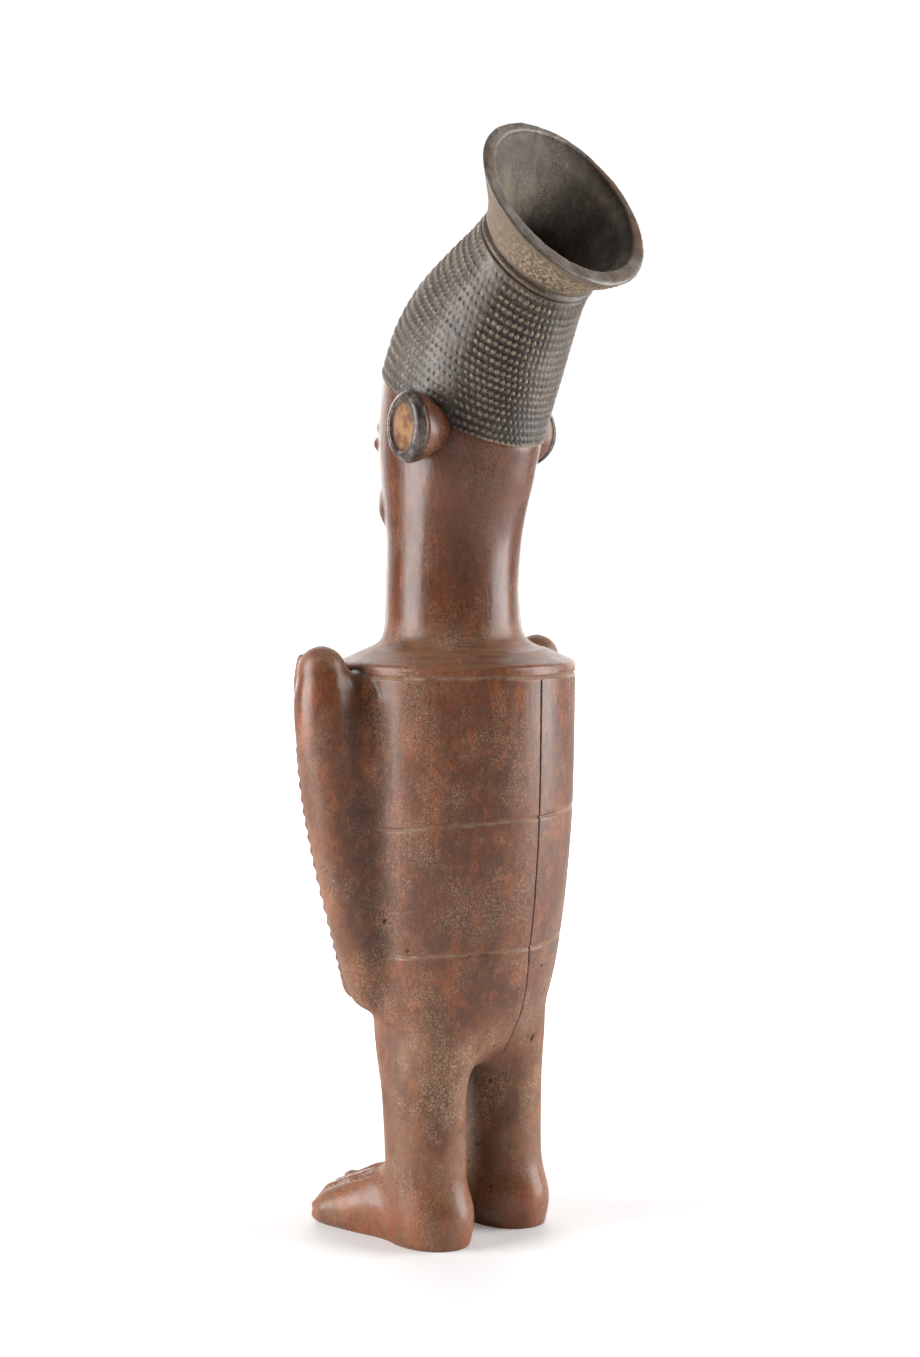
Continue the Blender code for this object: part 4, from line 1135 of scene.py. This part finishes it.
# %% Dress the pieces and let them ride on the solid
for obj, material in ((body, skin), (forearms, skin), (ears, skin), (hair, smoked), (funnel, smoked)):
    obj.data.materials.clear()
    obj.data.materials.append(material)
    obj.data.shade_smooth()
    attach(obj, "root")
    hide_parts("statuette")
    print(obj.name, sum(len(p.vertices) - 2 for p in obj.data.polygons), "triangles")

# %% [markdown]
# ## Stage, light and camera
# A plain pale floor that runs into a pale backdrop, and two tall soft boxes that lay long upright lights on the
# rounded neck and trunk, with a weak one above. What the camera doesn't see of the room is nearly dark, but for a
# bright patch beyond the figure, which lights its edges. The camera stands behind the figure's left side, at the
# height of its chin, and looks slightly down.

# %% Floor and backdrop
WHITE = (1.0, 1.0, 1.0, 1.0)
ROOM_DIM, ROOM_BRIGHT, BACKDROP = 0.04, 3.0, 1.05
FLOOR_NEAR, FLOOR_FAR = 0.13, 1.0
CAMERA_TURN, CAMERA_FAR, CAMERA_UP, CAMERA_DOWN = 136.5, 1.050, 0.334, 4.3
turn = math.radians(CAMERA_TURN)
toward = Vector((math.sin(turn), -math.cos(turn), 0.0))
right = Vector((math.cos(turn), math.sin(turn), 0.0))
bm = bmesh.new()
bmesh.ops.create_grid(bm, x_segments=1, y_segments=1, size=6.0)
mesh = bpy.data.meshes.new("floor")
bm.to_mesh(mesh)
bm.free()
floor = put("floor", mesh)
pale, tree, shader, place = new_material("pale_floor")
tone = mix(tree, grain(tree, place, 3.0, 2.0), (0.86, 0.86, 0.86, 1.0), (0.9, 0.9, 0.9, 1.0))
tree.links.new(tone, shader.inputs["Base Color"])
shader.inputs["Roughness"].default_value = 0.6
shader.inputs["Emission Color"].default_value = WHITE
away = add_node(tree, "ShaderNodeVectorMath", operation="LENGTH")
tree.links.new(place, away.inputs[0])
glow = remap(tree, away.outputs["Value"], 0.12, 0.60, FLOOR_NEAR, FLOOR_FAR)
seen = add_node(tree, "ShaderNodeLightPath").outputs["Is Camera Ray"]
tree.links.new(times(tree, seen, glow), shader.inputs["Emission Strength"])
floor.data.materials.append(pale)
world = bpy.data.worlds.new("pale_room")
world.use_nodes = True
room = world.node_tree
dim = room.nodes["Background"]
bright = add_node(room, "ShaderNodeBackground")
behind = add_node(room, "ShaderNodeVectorMath", operation="DOT_PRODUCT")
choose = add_node(room, "ShaderNodeMixShader")
for socket, value in (
        (behind.inputs[0], add_node(room, "ShaderNodeTexCoord").outputs["Generated"]), (behind.inputs[1], -toward),
        (dim.inputs["Color"], WHITE), (bright.inputs["Color"], WHITE), (bright.inputs["Strength"], BACKDROP),
        (dim.inputs["Strength"], remap(room, behind.outputs["Value"], 0.45, 1.0, ROOM_DIM, ROOM_BRIGHT)),
        (choose.inputs[0], add_node(room, "ShaderNodeLightPath").outputs["Is Camera Ray"]),
        (choose.inputs[1], dim.outputs[0]), (choose.inputs[2], bright.outputs[0]),
        (room.nodes["World Output"].inputs["Surface"], choose.outputs[0])):
    feed(room, socket, value)
bpy.context.scene.world = world
bpy.context.scene.view_settings.view_transform = "Standard"
print("floor and room ready")

# %% Lights and camera
middle = Vector((0.0, -AXIS_BACK * MM, 0.25))


def soft_box(name, place, size, power):
    light = bpy.data.lights.new(name, "AREA")
    light.shape = "RECTANGLE"
    light.size, light.size_y = size
    light.energy = power
    obj = put(name, light)
    obj.location = place
    obj.rotation_euler = (middle - place).to_track_quat("-Z", "Y").to_euler()


def from_camera(degrees, far, up):
    """A place round the figure, by its angle from the camera's side."""
    angle = math.radians(degrees)
    return middle + (toward * math.cos(angle) + right * math.sin(angle)) * far + Vector((0.0, 0.0, up))


soft_box("left_box", from_camera(-75.0, 1.3, 0.20), (0.8, 1.5), 32.0)
soft_box("right_box", from_camera(90.0, 1.3, 0.20), (0.9, 1.5), 30.0)
soft_box("top_box", from_camera(0.0, 0.05, 1.4), (1.2, 1.2), 3.0)
SENSOR, FRAME_TALL, LENS_FAR, FRAME_SHIFT = 36.0, 1357.0, 2300.0, 3.0    # millimetres, then pixels
lens = bpy.data.cameras.new("view")
lens.sensor_fit = "VERTICAL"
lens.sensor_height = SENSOR
lens.lens = LENS_FAR / FRAME_TALL * SENSOR
lens.shift_x = FRAME_SHIFT / FRAME_TALL
camera = put("view", lens)
camera.location = toward * CAMERA_FAR + Vector((0.0, -AXIS_BACK * MM, CAMERA_UP))
camera.rotation_euler = (math.radians(90.0 - CAMERA_DOWN), 0.0, turn)
bpy.context.scene.camera = camera
print("camera", tuple(round(v, 3) for v in camera.location))
